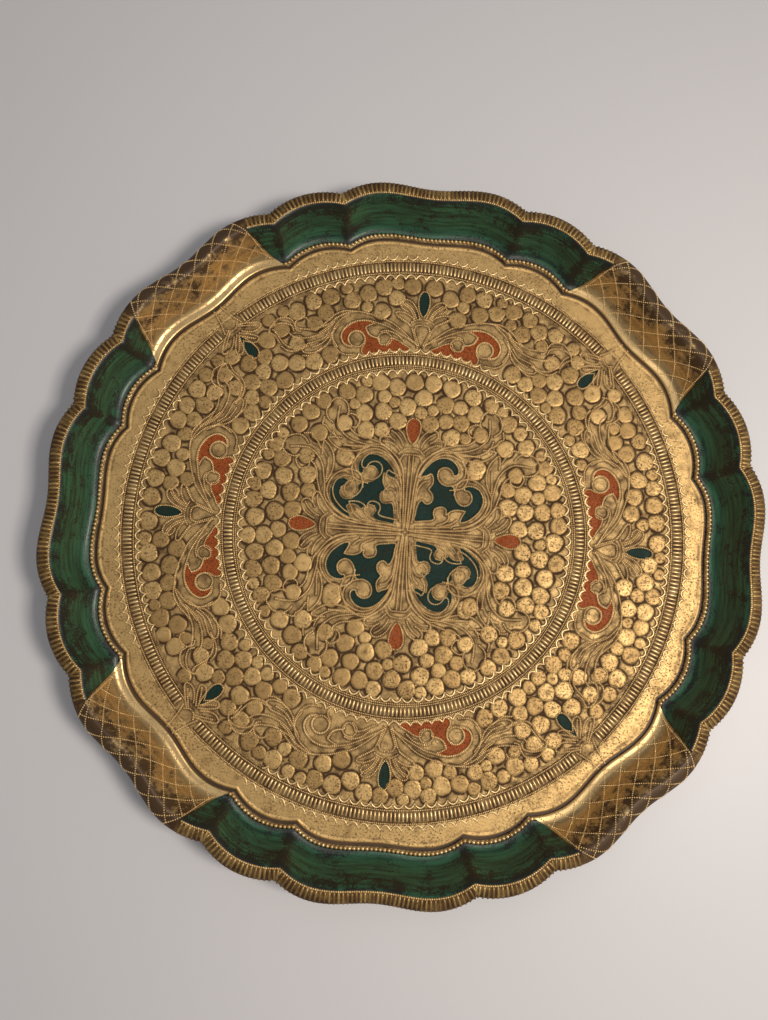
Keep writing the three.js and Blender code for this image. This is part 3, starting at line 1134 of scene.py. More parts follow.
SIDE_LINES = Motif(
    (
        DROP_SIDE,
        ((6.5, 124.5), (3.4, 126.2), (0, 126.8)),
        ((4.5, 120), (3.5, 122.5), (0, 123.4)),
        ((2, 109.5), (5, 118), (6.5, 121.5)),
        ((1, 110), (3, 115), (4.8, 120)),
        ((2, 127.5), (4, 132.5), (7, 136.5), (10.5, 138), (13, 137), (12, 135), (9, 133), (6.5, 130),
         (5, 127)),
        ((4, 127.5), (6.5, 132), (11, 135.8)),
        ((12.5, 136), (13.5, 134), (12, 132), (9.5, 131)),
        ((5.5, 126.5), (8, 128.5), (12, 130), (16, 129.8), (15.3, 127.5), (12, 125.5), (8.5, 123.5),
         (6.5, 121.5)),
        ((7.5, 123), (11, 125.3), (14.5, 127.3)),
        ((1, 110), (6, 114), (12, 119), (18, 123), (25, 125.5), (33, 127.5), (41, 127.8), (48, 125),
         (52.5, 121),
         (55, 117.5), (60, 113)),
        ((40, 128), (47, 127.5), (53, 124), (57, 119.5), (60, 116.5)),
        ((3, 111.5), (10, 115.5), (20, 120.5), (26, 122), (33, 123.2), (40, 121.8), (45, 118), (47.3, 113),
         (46.5, 109.5), (44, 106.8), (40.5, 106.3)),
        ((44, 126), (49, 121.5), (52, 116), (52, 110.5), (49, 105.5)),
        tuple(ring(38, 111.3, 4.8, 300, -40)),
        ((10.5, 113), (15, 116.5), (21, 118), (24, 117)),
        tuple(ring(21.5, 112.8, 4.0, 250, -60)),
        ((24.5, 112.5), (28, 113.5), (31, 115), (32.5, 117.5), (33.2, 119)),
    )
)
CORNER_LINES = Motif(
    (
        DROP_CORNER,
        ((2.5, 171), (3.4, 166), (4.6, 161), (6, 157)),
        ((4, 158), (2.2, 156), (0, 155.5)),
        ((3, 157), (8, 154), (13, 150.5), (14, 148), (10, 147), (6, 149), (3, 152)),
        ((1, 152), (5, 148), (8, 143.5), (6, 141.5), (3, 143), (0, 147)),
        ((14, 141), (17, 143), (21, 142.5), (25, 140), (27.5, 136), (26.5, 133)),
        ((15, 141), (16, 137), (15.5, 133)),
        ((15, 130), (16, 126), (20, 122.5), (27, 120.5)),
        ((21, 118), (25, 115), (32, 114.5)),
        ((3.4, 155.5), (7.5, 152.5), (11, 149.8)),
        ((1.6, 149), (4, 145.8), (6.2, 143.6)),
    ),
    turn=-45.0,
)
TENDRIL_LINES = Motif(
    (
        ((0, 133.5), (5, 131), (10, 130.5), (15, 130.5), (20, 132), (24, 134), (25, 137), (26, 140),
         (29, 142),
         (33, 142.5), (37, 140.5), (39, 139)),
        ((2, 131), (6, 128.5), (10, 127), (15, 126.3), (20, 126.5), (25, 128), (28, 130), (30, 134)),
        ((16.5, 136), (17, 138), (19, 139.3), (22, 139), (24, 137.5), (25, 135), (24.5, 132.5), (23, 131.5)),
        ((0, 129), (5, 125), (8, 121), (12, 118.5), (17, 117), (22, 117.5), (25, 119.5), (24, 121.5),
         (21, 123),
         (16, 123), (11, 123.5), (7, 126)),
        ((22, 122), (28, 122.2), (33, 125.2), (35.5, 130.6), (36.7, 135.2), (38, 137)),
        ((6, 122), (6.3, 118), (5, 113.5), (2, 110.5), (-3, 109)),
        ((3, 127), (8, 123.5), (13, 120.8), (19, 120.2)),
    ),
    turn=-22.5,
)


@dataclass
class Ornament:
    """All the lines of the floor, and how far any place lies from them."""

    ring_radii: tuple[float, ...] = (162.0, 154.8, 105.8, 104.6, 98.1, 96.9)
    open_half: float = 7.5  # half of the opening in the outer ring at each corner
    medallion: float = 101.4  # radius of the middle of the inner ring
    outer_start: float = 121.4  # radius from which a ring belongs to the outer one
    kept_free: tuple[tuple[float, float, float], ...] = (  # place and radius of what pebbles stay clear of
        (38.0, 111.3, 1.5), (21.5, 112.8, 1.0), (0.0, 117.0, 3.0), (29.0, 107.0, 2.5),
        (10.0, 117.0, 1.0), (29.0, 117.0, 1.5), (67.5, 45.0, 1.0),
    )
    inner: list[np.ndarray] = field(init=False)  # lines inside the inner ring
    outer: list[np.ndarray] = field(init=False)  # lines outside it
    tree: kdtree.KDTree = field(init=False)

    def __post_init__(self) -> None:
        """Draws the lines and sorts them for quick searching."""
        motifs = (CENTRE_LINES, ARM_LINES, SIDE_LINES, CORNER_LINES, TENDRIL_LINES)
        lines = [line for motif in motifs for line in motif.copies()]
        lines += Motif((CENTRE_FIELD,), Symmetry.QUARTERS).copies(closed=True)
        lines += Motif((SCROLL_FIELD,)).copies(closed=True)
        self.inner = [line for line in lines if np.hypot(*line.mean(0)) < self.medallion]
        self.outer = [line for line in lines if np.hypot(*line.mean(0)) >= self.medallion]
        self.tree = tree_of(np.vstack(lines))

    def heads(self) -> list[tuple[float, float, float]]:
        """Gives the middle and the radius of each place that the scrolls keep for themselves."""
        made = set()
        for x, y, reach in self.kept_free:
            for a, b in ((x, y), (y, x)):
                made |= {(sx * a, sy * b, reach) for sx in (1, -1) for sy in (1, -1)}
        return sorted(made)

    def opening(self, radius: float) -> float:
        """Half of the opening at each corner: the outer ring has one, the inner ring none."""
        return self.open_half if radius > self.outer_start else 0.0

    def circles(self) -> list[np.ndarray]:
        """Gives the ring lines, with the outer ones open at the corners.

        Returns:
            The lines, four for each ring.
        """
        made = []
        for radius in self.ring_radii:
            half = self.opening(radius) / radius
            for quarter in range(4):
                start = math.pi / 4 + quarter * math.pi / 2 + half
                angles = np.linspace(start, start + math.pi / 2 - 2 * half, 400)
                made.append(np.stack([radius * np.cos(angles), radius * np.sin(angles)], 1))
        return made

    def away(self, spots: np.ndarray) -> np.ndarray:
        """Gives how far each place on the floor lies from the nearest line."""
        return np.array([self.tree.find((x, y, 0.0))[2] for x, y in spots])


def tree_of(points: np.ndarray) -> kdtree.KDTree:
    """Sorts places in plan for quick searching.

    Args:
        points: The places, one row each.

    Returns:
        The search tree.
    """
    tree = kdtree.KDTree(len(points))
    for k, (x, y) in enumerate(points):
        tree.insert((x, y, 0.0), k)
    tree.balance()
    return tree


def smooth_step(value: np.ndarray, low: float, high: float) -> np.ndarray:
    """Smooth step from 0 at the low value to 1 at the high one."""
    t = np.clip((value - low) / (high - low), 0, 1)
    return t * t * (3 - 2 * t)


def inside(outline: np.ndarray, spots: np.ndarray) -> np.ndarray:
    """Tells which places lie inside a closed outline.

    Args:
        outline: Points of the outline.
        spots: Places, one row each.

    Returns:
        True for each place inside.
    """
    x, y = spots[:, 0], spots[:, 1]
    result = np.zeros(len(spots), bool)
    (left, low), (right, high) = outline.min(0), outline.max(0)
    near = (x > left) & (x < right) & (y > low) & (y < high)
    px, py = x[near], y[near]
    hit = np.zeros(len(px), bool)
    for (ax, ay), (bx, by) in zip(outline, np.roll(outline, -1, axis=0)):
        if ay == by:
            continue
        crosses = (ay > py) != (by > py)
        hit ^= crosses & (px < (bx - ax) * (py - ay) / (by - ay) + ax)
    result[near] = hit
    return result


def curves_from(name: str, lines: Sequence[np.ndarray]) -> bpy.types.Object:
    """Makes a curve object of straight-sided lines.

    Args:
        name: Its name.
        lines: Points of each line in millimetres, with three columns.

    Returns:
        The object.
    """
    data = bpy.data.curves.new(name, "CURVE")
    data.dimensions = "3D"
    for line in lines:
        spline = data.splines.new("POLY")
        spline.points.add(len(line) - 1)
        flat = np.concatenate([np.asarray(line, float) * MM, np.ones((len(line), 1))], 1)
        spline.points.foreach_set("co", flat.ravel())
    return new_object(name, data)


def lifted(lines: Iterable[np.ndarray], level: float) -> list[np.ndarray]:
    """Gives flat lines a height, in millimetres."""
    return [np.concatenate([line, np.full((len(line), 1), level)], 1) for line in lines]


# ---------------------------------------------------------------------------------------------------------
# Sub-assemblies
# ---------------------------------------------------------------------------------------------------------


@dataclass
class Patterns:
    """The geometry node trees that the sub-assemblies share."""

    beads: BeadString
    placing: Placing
    lace: Lace


@dataclass
class EmbossedFloor:
    """Floor panel of moulded gesso: rings, scrolls, painted fields and pebbles."""

    ornament: Ornament
    patterns: Patterns
    finish: GiltFinish
    line_finish: GiltFinish
    cell: float = 0.55  # size of the faces of the moulded ground
    crevice: float = 7.45  # height of the ground between the pebbles
    cord_width: float = 1.15
    cord_pitch: float = 1.05
    cord_level: float = 8.1
    outer_field: tuple[float, float] = (107.6, 152.0)
    inner_field: float = 94.4
    tick_pitch: float = 2.25
    tick_level: float = 7.62
    tick_rings: tuple[tuple[str, float, float], ...] = (  # name, radius and length of the bars
        ("outer_ticks", 158.4, 5.3),
        ("inner_ticks", 101.35, 5.0),
    )
    pebble_radius: float = 5.35
    seed: int = 11
    pebbles: tuple[np.ndarray, np.ndarray] = field(init=False)  # middles and radii

    def __post_init__(self) -> None:
        """Packs the pebbles, which the ground makes room for."""
        self.pebbles = self.pack_pebbles()

    def ground_rings(self) -> list[tuple[float, int]]:
        """Radius and number of columns in a quarter for each ring of ground points."""
        edge = SHAPE.floor_edge - SHAPE.gesso
        bands = ((3.3, 9), (6.6, 18), (13.2, 38), (26.4, 75), (52.8, 150), (105.2, 300), (edge, 450))
        rings = [(0.0, 0)]
        start = 0.0
        for end, columns in bands:
            rows = max(1, round((end - start) / self.cell))
            rings += [(start + (end - start) * (k + 1) / rows, columns) for k in range(rows)]
            start = end
        return rings + [(edge + SHAPE.gesso * math.sin(a), 450) for a in np.linspace(0.25, math.pi / 2, 6)]

    def ground_plan(self) -> tuple[np.ndarray, np.ndarray, list[list[int]]]:
        """Lays out one quarter of the ground.

        Returns:
            Crest radius of each point, its direction in degrees, and the faces.
        """
        rings = self.ground_rings()
        radii, degrees, starts = [], [], []
        for r, columns in rings:
            starts.append(len(radii))
            angles = np.linspace(0, 90, columns + 1) if columns else np.array([45.0])
            radii += [r] * len(angles)
            degrees += angles.tolist()
        faces: list[list[int]] = []
        for (_, n), (_, m), a, b in zip(rings, rings[1:], starts, starts[1:]):
            if n == m:
                faces += [[a + k, b + k, b + k + 1, a + k + 1] for k in range(n)]
                continue
            i = j = 0
            while i < n or j < m:
                if j < m and (n == 0 or i == n or (j + 1) / m <= (i + 1) / n):
                    faces.append([a + i, b + j, b + j + 1])
                    j += 1
                elif n:
                    faces.append([a + i, b + j, a + i + 1])
                    i += 1
                else:
                    break
        return np.array(radii), np.array(degrees), faces

    def lace_lines(self) -> tuple[tuple[float, float, int], ...]:
        """Cusp radius, rise and number of arches of each lace."""
        rises = ((165.8, -2.9), (150.9, 2.8), (108.9, -2.6), (93.0, 2.9))
        return tuple((r, rise, round(2 * math.pi * r / 6.1 / 4) * 4) for r, rise in rises)

    def relief(self, spots: np.ndarray, crest: np.ndarray) -> tuple[np.ndarray, np.ndarray]:
        """Gives the height and the wash of the ground, before the pebbles are set.

        Args:
            spots: Places in one quarter.
            crest: Crest radius of each place.

        Returns:
            The height of each place, and how much wash lies there, from 0 to 1.
        """
        radius = np.hypot(spots[:, 0], spots[:, 1])
        angle = np.arctan2(spots[:, 1], spots[:, 0])
        aside = np.abs(spots[:, 0] - spots[:, 1]) / math.sqrt(2)
        away = self.ornament.away(spots)
        ridge = np.exp(-((away / 0.7) ** 2))
        z = 7.72 + 0.22 * ridge
        wash = 0.40 + 0.30 * np.exp(-(((away - 0.85) / 0.28) ** 2))
        for low, high, level, brown in (
            (93.6, 96.2, 7.75, 0.35),
            (96.2, 106.4, 7.65, 0.66),
            (106.4, 109.0, 7.75, 0.35),
            (150.5, 154.0, 7.75, 0.35),
            (154.0, 162.8, 7.65, 0.66),
            (162.8, 300.0, 8.0, 0.14),
        ):
            band = smooth_step(radius, low - 0.4, low + 0.4)
            band = band * (1 - smooth_step(radius, high - 0.4, high + 0.4))
            if 150.0 < low < 160.0:  # the outer ring opens at the corners
                band = band * smooth_step(aside, self.ornament.open_half - 0.6, self.ornament.open_half + 0.4)
            near = 0.25 * ridge * (high < 170)
            z = z * (1 - band) + (level + near) * band
            lines = 0.3 * np.exp(-(((away - 0.9) / 0.4) ** 2)) * (band > 0)
            wash = wash * (1 - band) + (brown + lines * (high > 170)) * band
        for cusp, rise, arches in self.lace_lines():
            line = cusp + rise * np.abs(np.sin(angle * arches / 2)) ** 0.7
            wash += 0.30 * np.exp(-(((np.abs(radius - line) - 0.75) / 0.4) ** 2))
        # the rolled bead on the floor's edge gets less wash: partly gilding wiped from the high edge, partly
        # a painted highlight along it
        roll = np.clip(1 - ((crest - (SHAPE.floor_edge - 1.3)) / 1.1) ** 2, 0, 1)
        z += 0.35 * roll
        wash += 0.22 * np.exp(-(((crest - (SHAPE.floor_edge - 3.2)) / 0.9) ** 2)) - 0.2 * roll
        # darkest at the foot of the edge's fall, in the groove: partly patina, partly painted shade
        fall = np.clip(crest - (SHAPE.floor_edge - SHAPE.gesso), 0, SHAPE.gesso)
        z -= SHAPE.gesso - np.sqrt(np.maximum(SHAPE.gesso**2 - fall**2, 0))
        wash += 0.6 * smooth_step(fall, 1.42, 1.5)
        return z, np.clip(wash, 0, 1)

    def crevices(self, spots: np.ndarray) -> np.ndarray:
        """Tells where the ground lies close to a pebble.

        Args:
            spots: Places on the floor, one row each.

        Returns:
            1 in the crevices round the pebbles, 0 elsewhere.
        """
        middles, sizes = self.pebbles
        tree = tree_of(middles)
        found = [tree.find((x, y, 0.0)) for x, y in spots]
        beyond = np.array([f[2] - sizes[f[1]] for f in found])
        return 1 - smooth_step(beyond, 0.5, 1.3)

    def painted(self, spots: np.ndarray, side: Side) -> dict[Paint, np.ndarray]:
        """Finds where the paints lie in one quarter.

        Args:
            spots: Places in the quarter, turned so that the quarter runs from +X to +Y.
            side: Side that the quarter starts at, anticlockwise.

        Returns:
            For each paint, 1 where it covers the ground and 0 elsewhere.
        """

        def whole(half: tuple[Point, ...]) -> np.ndarray:
            """Outline of a drop from one half of it."""
            line = smooth_line(half)
            across = line * ((1, -1) if half is DROP_CENTRE else (-1, 1))
            return np.vstack([line, across[::-1]])

        green = inside(smooth_line(CENTRE_FIELD, closed=True), spots)
        green |= inside(whole(DROP_SIDE), spots) | inside(whole(DROP_SIDE), spots[:, ::-1])
        green |= inside(turned(whole(DROP_CORNER), -45.0), spots)
        red = inside(whole(DROP_CENTRE), spots) | inside(whole(DROP_CENTRE), spots[:, ::-1])
        scroll = smooth_line(SCROLL_FIELD, closed=True)
        unpainted = side is Side.LEFT  # its second half of the front scrolls stays gold
        if not unpainted:
            red |= inside(scroll, spots)
        red |= inside(scroll, spots[:, ::-1])
        return {Paint.GREEN: green.astype(float), Paint.RED: red.astype(float)}

    def build_ground(self, material: bpy.types.Material) -> None:
        """Builds the four quarters of the moulded ground."""
        crest, degrees, faces = self.ground_plan()
        blend = np.clip((crest - 165.5) / (SHAPE.floor_edge - SHAPE.gesso - 165.5), 0, 1)
        radius = crest - SHAPE.depth(degrees, SHAPE.floor_depths) * blend * blend * (3 - 2 * blend)
        rad = np.radians(degrees)
        spots = np.stack([radius * np.cos(rad), radius * np.sin(rad)], 1)
        z, base = self.relief(spots, crest)
        away = self.ornament.away(spots)
        for side in Side:
            paints = self.painted(spots, side)
            low = self.crevices(turned(spots, side.value)) * smooth_step(away, 0.5, 1.0)
            low = low * (paints[Paint.GREEN] + paints[Paint.RED] == 0) * (radius < self.outer_field[1])
            low = low * ((radius < self.inner_field) | (radius > self.outer_field[0]))
            level = z + (self.crevice - z) * low
            wash = base + (0.80 - base) * low
            points = turned(np.concatenate([spots, level[:, None]], 1), side.value)
            mesh = mesh_from(f"floor_ground_{side.name.lower()}", points, faces)
            store(mesh, "patina", wash)
            for paint, where in paints.items():
                store(mesh, paint.value, where)
            self.close_below(mesh)
            mesh.materials.append(material)
            nodes = ("embossed_floor_panel",) if side is Side.FRONT else ()
            settle(new_object(mesh.name, mesh), "gilt_floor", *nodes)

    def close_below(self, mesh: bpy.types.Mesh) -> None:
        """Gives a quarter of the ground its walls and its underside."""
        low = (SHAPE.floor_height - SHAPE.gesso) * MM
        work = bmesh.new()
        work.from_mesh(mesh)
        rim = [e for e in work.edges if e.is_boundary]
        made = bmesh.ops.extrude_edge_only(work, edges=rim)["geom"]
        for corner in (g for g in made if isinstance(g, bmesh.types.BMVert)):
            corner.co.z = low
        bmesh.ops.edgeloop_fill(work, edges=[g for g in made if isinstance(g, bmesh.types.BMEdge)])
        bmesh.ops.recalc_face_normals(work, faces=work.faces)
        work.to_mesh(mesh)
        work.free()
        mesh.set_sharp_from_angle(angle=math.radians(60.0))

    def build_cords(self, material: bpy.types.Material) -> None:
        """Lays the beaded cords of the scrolls and of the rings."""
        groups = {
            "medallion_scrolls": (self.ornament.inner, self.cord_level, 1.0),
            "border_scrolls": (self.ornament.outer, self.cord_level, 1.0),
            "ring_cords": (self.ornament.circles(), 8.0, 0.95),
        }
        for name, (lines, level, size) in groups.items():
            width = self.cord_width * size * MM
            carrier = curves_from(name + "_lines", lifted(lines, level))
            section = (width, 0.95 * width)
            cord = self.patterns.beads.string(name, carrier, self.cord_pitch * MM, section, material)
            settle(cord, "gilt_floor")

    def bar(self, length: float, width: float, height: float) -> bpy.types.Mesh:
        """Makes a small rounded bar along X, with wash at its foot.

        Args:
            length: Its length.
            width: Its width.
            height: Its height.

        Returns:
            Its mesh.
        """
        profile = [(-0.5, 0.0), (-0.36, 0.7), (0.0, 1.0), (0.36, 0.7), (0.5, 0.0)]
        stations = [(-0.5, 0.35, 0.3), (-0.42, 0.9, 0.9), (0.42, 0.9, 0.9), (0.5, 0.35, 0.3)]
        points = [(x * length, y * width * w, z * height * h) for x, w, h in stations for y, z in profile]
        mesh = mesh_from("bar", np.array(points), tube_faces(len(stations), len(profile)))
        face_outwards(mesh)
        store(mesh, "patina", [0.85 if v.co.z < 0.1 * height * MM else 0.0 for v in mesh.vertices])
        return mesh

    def build_ticks(self, material: bpy.types.Material) -> None:
        """Sets the short bars between the cords of both rings."""
        for name, radius, length in self.tick_rings:
            half = self.ornament.opening(radius) / radius
            count = round(2 * math.pi * radius / self.tick_pitch)
            angles = np.arange(count) * 2 * math.pi / count
            aside = np.abs(angles % (math.pi / 2) - math.pi / 4)
            angles = angles[aside > half]
            level = np.full(len(angles), self.tick_level)
            spots = np.stack([radius * np.cos(angles), radius * np.sin(angles), level], 1)
            bar = self.bar(length, 0.68 * self.tick_pitch, 0.62)
            sizes = np.ones((len(angles), 3))
            piece = self.patterns.placing.place(name, bar, spots, angles, sizes, material)
            settle(piece, "gilt_floor")

    def build_lace(self, material: bpy.types.Material) -> None:
        """Runs a lace of small arches along both sides of both rings."""
        places = ("border", "outer_field", "scrolls", "medallion")
        for place, (cusp, rise, arches) in zip(places, self.lace_lines()):
            name = f"lace_{place}"
            values = {
                "Points": arches * Lace.STEPS,
                "Radius": cusp * MM,
                "Rise": rise * MM,
                "Level": 7.98 * MM,
                "Width": 1.15 * MM,
                "Opening": self.ornament.opening(cusp) * MM,
                "Finish": material,
            }
            carrier = new_object(name + "_carrier", mesh_from(name, np.zeros((1, 3)), []))
            settle(self.patterns.lace.make(name, carrier, values), "gilt_floor")

    def pebble(self) -> bpy.types.Mesh:
        """Mesh of a pebble of radius and height 1, with a flat pitted top and wash at its foot."""
        sides = 16
        profile = (
            (1.0, 0.0, 1.0), (0.985, 0.55, 0.50), (0.91, 0.90, 0.12), (0.70, 1.0, 0.06), (0.30, 0.98, 0.15),
        )
        angles = np.arange(sides) * 2 * math.pi / sides
        uneven = 1 + 0.045 * np.cos(3 * angles + 1.0) + 0.035 * np.cos(5 * angles)
        points = [
            (r * u * math.cos(a), r * u * math.sin(a), z)
            for r, z, _ in profile
            for a, u in zip(angles, uneven)
        ]
        faces = [
            [low + j, low + (j + 1) % sides, low + sides + (j + 1) % sides, low + sides + j]
            for low in range(0, (len(profile) - 1) * sides, sides)
            for j in range(sides)
        ]
        top = (len(profile) - 1) * sides
        faces += [[top + j, top + (j + 1) % sides, top + sides] for j in range(sides)]
        faces.append(list(reversed(range(sides))))
        mesh = mesh_from("pebble", np.array([*points, (0.0, 0.0, 0.93)]) / MM, faces)
        store(mesh, "patina", [w for _, _, w in profile for _ in range(sides)] + [0.36])
        return mesh

    def pack_pebbles(self) -> tuple[np.ndarray, np.ndarray]:
        """Packs pebbles snugly into the fields, clear of the scrolls and the painted fields.

        Returns:
            The middle of each pebble, and its radius.
        """
        rng = np.random.default_rng(self.seed)
        line = np.arange(-151.0, 151.0, 1.0)
        cells = np.stack(np.meshgrid(line, line), -1).reshape(-1, 2) + 0.5
        radius = np.hypot(cells[:, 0], cells[:, 1])
        low, high = self.outer_field
        outside = np.minimum(radius - low, high - radius)
        room = np.where(radius > self.ornament.medallion, outside, self.inner_field - radius)
        keep = (room > 3.0) & (radius > 44.0)
        cells, room = cells[keep], room[keep]
        folded = np.abs(cells)
        painted = self.painted(folded, Side.FRONT)
        both = self.painted(folded[:, ::-1], Side.FRONT)
        keep = (painted[Paint.GREEN] + painted[Paint.RED] + both[Paint.GREEN] + both[Paint.RED]) == 0
        cells, room = cells[keep], room[keep]
        clear = self.ornament.away(cells)
        room = np.minimum(room, clear + 1.2)
        for x, y, reach in self.ornament.heads():
            room = np.minimum(room, np.hypot(cells[:, 0] - x, cells[:, 1] - y) - reach)
        room = room + rng.uniform(-0.12, 0.12, len(room))
        middles, sizes = [], []
        for target in (1.0, 0.95, 0.90, 0.84, 0.76, 0.66):
            while True:
                size = self.pebble_radius * target * rng.uniform(0.97, 1.03)
                fits = np.flatnonzero((room + (target < 0.92) * 0.5 >= size) & (clear > 3.1))
                if len(fits) == 0:
                    break
                chosen = cells[fits[np.argmin(room[fits])]]
                middles.append(chosen)
                sizes.append(size)
                gap = np.hypot(*(cells - chosen).T) - size + 0.5
                room = np.minimum(room, gap)
        lone = [(sx * 38.5, sy * 41.0) for sx in (1, -1) for sy in (1, -1)]
        return np.array([*middles, *lone]), np.array([*sizes, *[5.5] * 4])

    def build_pebbles(self, material: bpy.types.Material) -> None:
        """Sets the pebbles."""
        rng = np.random.default_rng(self.seed + 1)
        spots, size = self.pebbles
        count = len(spots)
        places = np.concatenate([spots, np.full((count, 1), self.crevice - 0.15)], 1)
        stretch = rng.uniform(0.95, 1.05, count)
        sizes = np.stack([size * stretch, size / stretch, rng.uniform(0.62, 0.80, count)], 1) * MM
        turns = rng.uniform(0, 2 * math.pi, count)
        piece = self.patterns.placing.place("pebbles", self.pebble(), places, turns, sizes, material)
        settle(piece, "gilt_floor")

    def build(self) -> None:
        """Builds the floor panel."""
        material, lines = self.finish.material(), self.line_finish.material()
        self.build_ground(material)
        self.build_cords(lines)
        self.build_ticks(lines)
        self.build_lace(lines)
        self.build_pebbles(material)


def side_limit(crest: float, margin: float) -> float:
    """Finds where a green section ends.

    Args:
        crest: Crest radius.
        margin: Distance kept from the lattice panel's side, less than 0 inside the panel.

    Returns:
        The end's direction, in degrees from the middle of the section.
    """
    limit = SIDE_GUESS
    for _ in range(4):
        radius = SHAPE.radius(crest, limit)
        limit = float(SHAPE.panel_limit(radius)) - math.degrees(margin / radius)
    return limit


def limited_angles(section: np.ndarray, columns: np.ndarray, margin: float) -> np.ndarray:
    """Directions for a sweep that ends at the lattice panels.

    Args:
        section: Crest radius and height of each section point.
        columns: Place of each column, from -1 at one panel to 1 at the other.
        margin: Distance kept from the panels' sides.

    Returns:
        Direction of each point, one row for each column. The notches keep their directions.
    """
    last = SHAPE.notches[-1]
    share = last / GREEN_HALF
    a = np.abs(columns)
    result = np.zeros((len(columns), len(section)))
    for j, (crest, _) in enumerate(section):
        beyond = last + (side_limit(crest, margin) - last) * (a - share) / (1 - share)
        result[:, j] = np.sign(columns) * np.where(a <= share, a / share * last, beyond)
    return result


def panel_angles(section: np.ndarray, columns: np.ndarray, margin: float) -> np.ndarray:
    """Directions for a sweep across a lattice panel.

    Args:
        section: Crest radius and height of each section point.
        columns: Place of each column, from -1 at one side to 1 at the other.
        margin: Distance kept from the panel's sides.

    Returns:
        Direction of each point round the corner at 45 degrees, one row for each column.
    """
    limits = np.array([side_limit(crest, -margin) for crest, _ in section])
    return 45.0 + columns[:, None] * (45.0 - limits)


def thick(curve: np.ndarray, thickness: float) -> np.ndarray:
    """Closed section of a skin that hangs below a curve.

    Args:
        curve: Crest radius and height of each point.
        thickness: Thickness of the skin.

    Returns:
        The section.
    """
    along = np.gradient(curve, axis=0)
    normal = np.stack([along[:, 1], -along[:, 0]], 1) / np.hypot(along[:, 0], along[:, 1])[:, None]
    below = curve + normal * thickness
    below[0] = curve[0] - (0, thickness)
    return np.vstack([curve, below[::-1]])


def columns_for(step: float) -> np.ndarray:
    """Places the columns of a sweep, with one on every notch.

    Args:
        step: Distance between columns, in degrees.

    Returns:
        Place of each column, from -1 to 1.
    """
    share = SHAPE.notches[-1] / GREEN_HALF
    marks = [0.0, *(share * n / SHAPE.notches[-1] for n in SHAPE.notches), 1.0]
    parts = [
        np.linspace(a, b, max(2, round((b - a) * GREEN_HALF / step)), endpoint=False)
        for a, b in zip(marks, marks[1:])
    ]
    half = np.concatenate([*parts, [1.0]])
    return np.concatenate([-half[:0:-1], half])


@dataclass
class GreenCove:
    """Green painted cove on one side of the rim."""

    side: Side
    material: bpy.types.Material
    step: float = 0.5  # degrees between columns

    def shade(self, angles: np.ndarray, section: np.ndarray) -> np.ndarray:
        """Tells how dark the paint is drawn: painted shade along the foot by the pearls, patina and painted
        shade in the creases at the notches, the paint's black streaks along the outer edge, and a darker band
        near the panels.

        Args:
            angles: Direction of each point.
            section: Crest radius and height of each section point.

        Returns:
            The darkness of each point.
        """
        place = (section[:, 0] - SHAPE.cove_inner) / SHAPE.cove_width
        edges = 0.30 * np.exp(-((place / 0.10) ** 2)) + 0.50 * np.exp(-(((1 - place) / 0.24) ** 2))
        turn = np.abs(angles)
        creases = sum(0.62 * np.exp(-(((turn - n) / 0.9) ** 2)) for n in SHAPE.notches)
        return edges + creases - 0.04 + 0.22 * np.exp(-(((turn - 33.0) / 2.2) ** 2))

    def build(self) -> None:
        """Builds the cove."""
        section = thick(SHAPE.cove_curve(), SHAPE.gesso)
        angles = limited_angles(section, columns_for(self.step), 0.08)
        name = self.side.name.lower()
        rim_piece(
            f"painted_cove_{name}", section, angles, self.side.value, self.material, "green_paint",
            f"green_cove_{name}", shade=self.shade(angles, section),
        )


@dataclass
class PearlString:
    """Pearls along the foot of a painted cove, on a low strip."""

    side: Side
    material: bpy.types.Material
    patterns: Patterns
    pitch: float = 2.4
    level: float = 8.15

    def build(self) -> None:
        """Builds the strip and its pearls."""
        name = self.side.name.lower()
        middle = SHAPE.bead_inner + SHAPE.bead_width / 2
        bottom = SHAPE.seat_height + SHAPE.gap
        half = SHAPE.bead_width / 2
        a = np.linspace(0, np.pi, 7)
        crown = np.stack([middle - half * np.cos(a), self.level - 0.9 + 0.5 * np.sin(a)], 1)
        section = np.vstack([[(middle - half, bottom)], crown, [(middle + half, bottom)]])
        angles = limited_angles(section, columns_for(0.7), 0.1)
        rim_piece(
            f"pearl_strip_{name}", section, angles, self.side.value, self.material, "gilt_beads",
            f"bead_strip_{name}", sharp=40.0, patina=np.full(angles.size, 0.5),
        )
        line = self.line(middle)
        carrier = curves_from(f"pearls_{name}_line", [turned(line, self.side.value)])
        size = (0.95 * self.pitch * MM, 0.9 * self.pitch * MM)
        beads = self.patterns.beads
        pearls = beads.string(f"pearls_{name}", carrier, self.pitch * MM, size, self.material, roundness=2)
        settle(pearls, "gilt_beads")

    def line(self, crest: float) -> np.ndarray:
        """Draws the line of the pearls' middles, for the side that looks along +X.

        Args:
            crest: Crest radius of the line.

        Returns:
            Its points, one row each.
        """
        angles = limited_angles(np.array([(crest, 0.0)]), columns_for(0.4) * 0.995, 0.8)[:, 0]
        radius = SHAPE.radius(crest, angles)
        rad = np.radians(angles)
        return np.stack([radius * np.cos(rad), radius * np.sin(rad), np.full(len(rad), self.level)], 1)


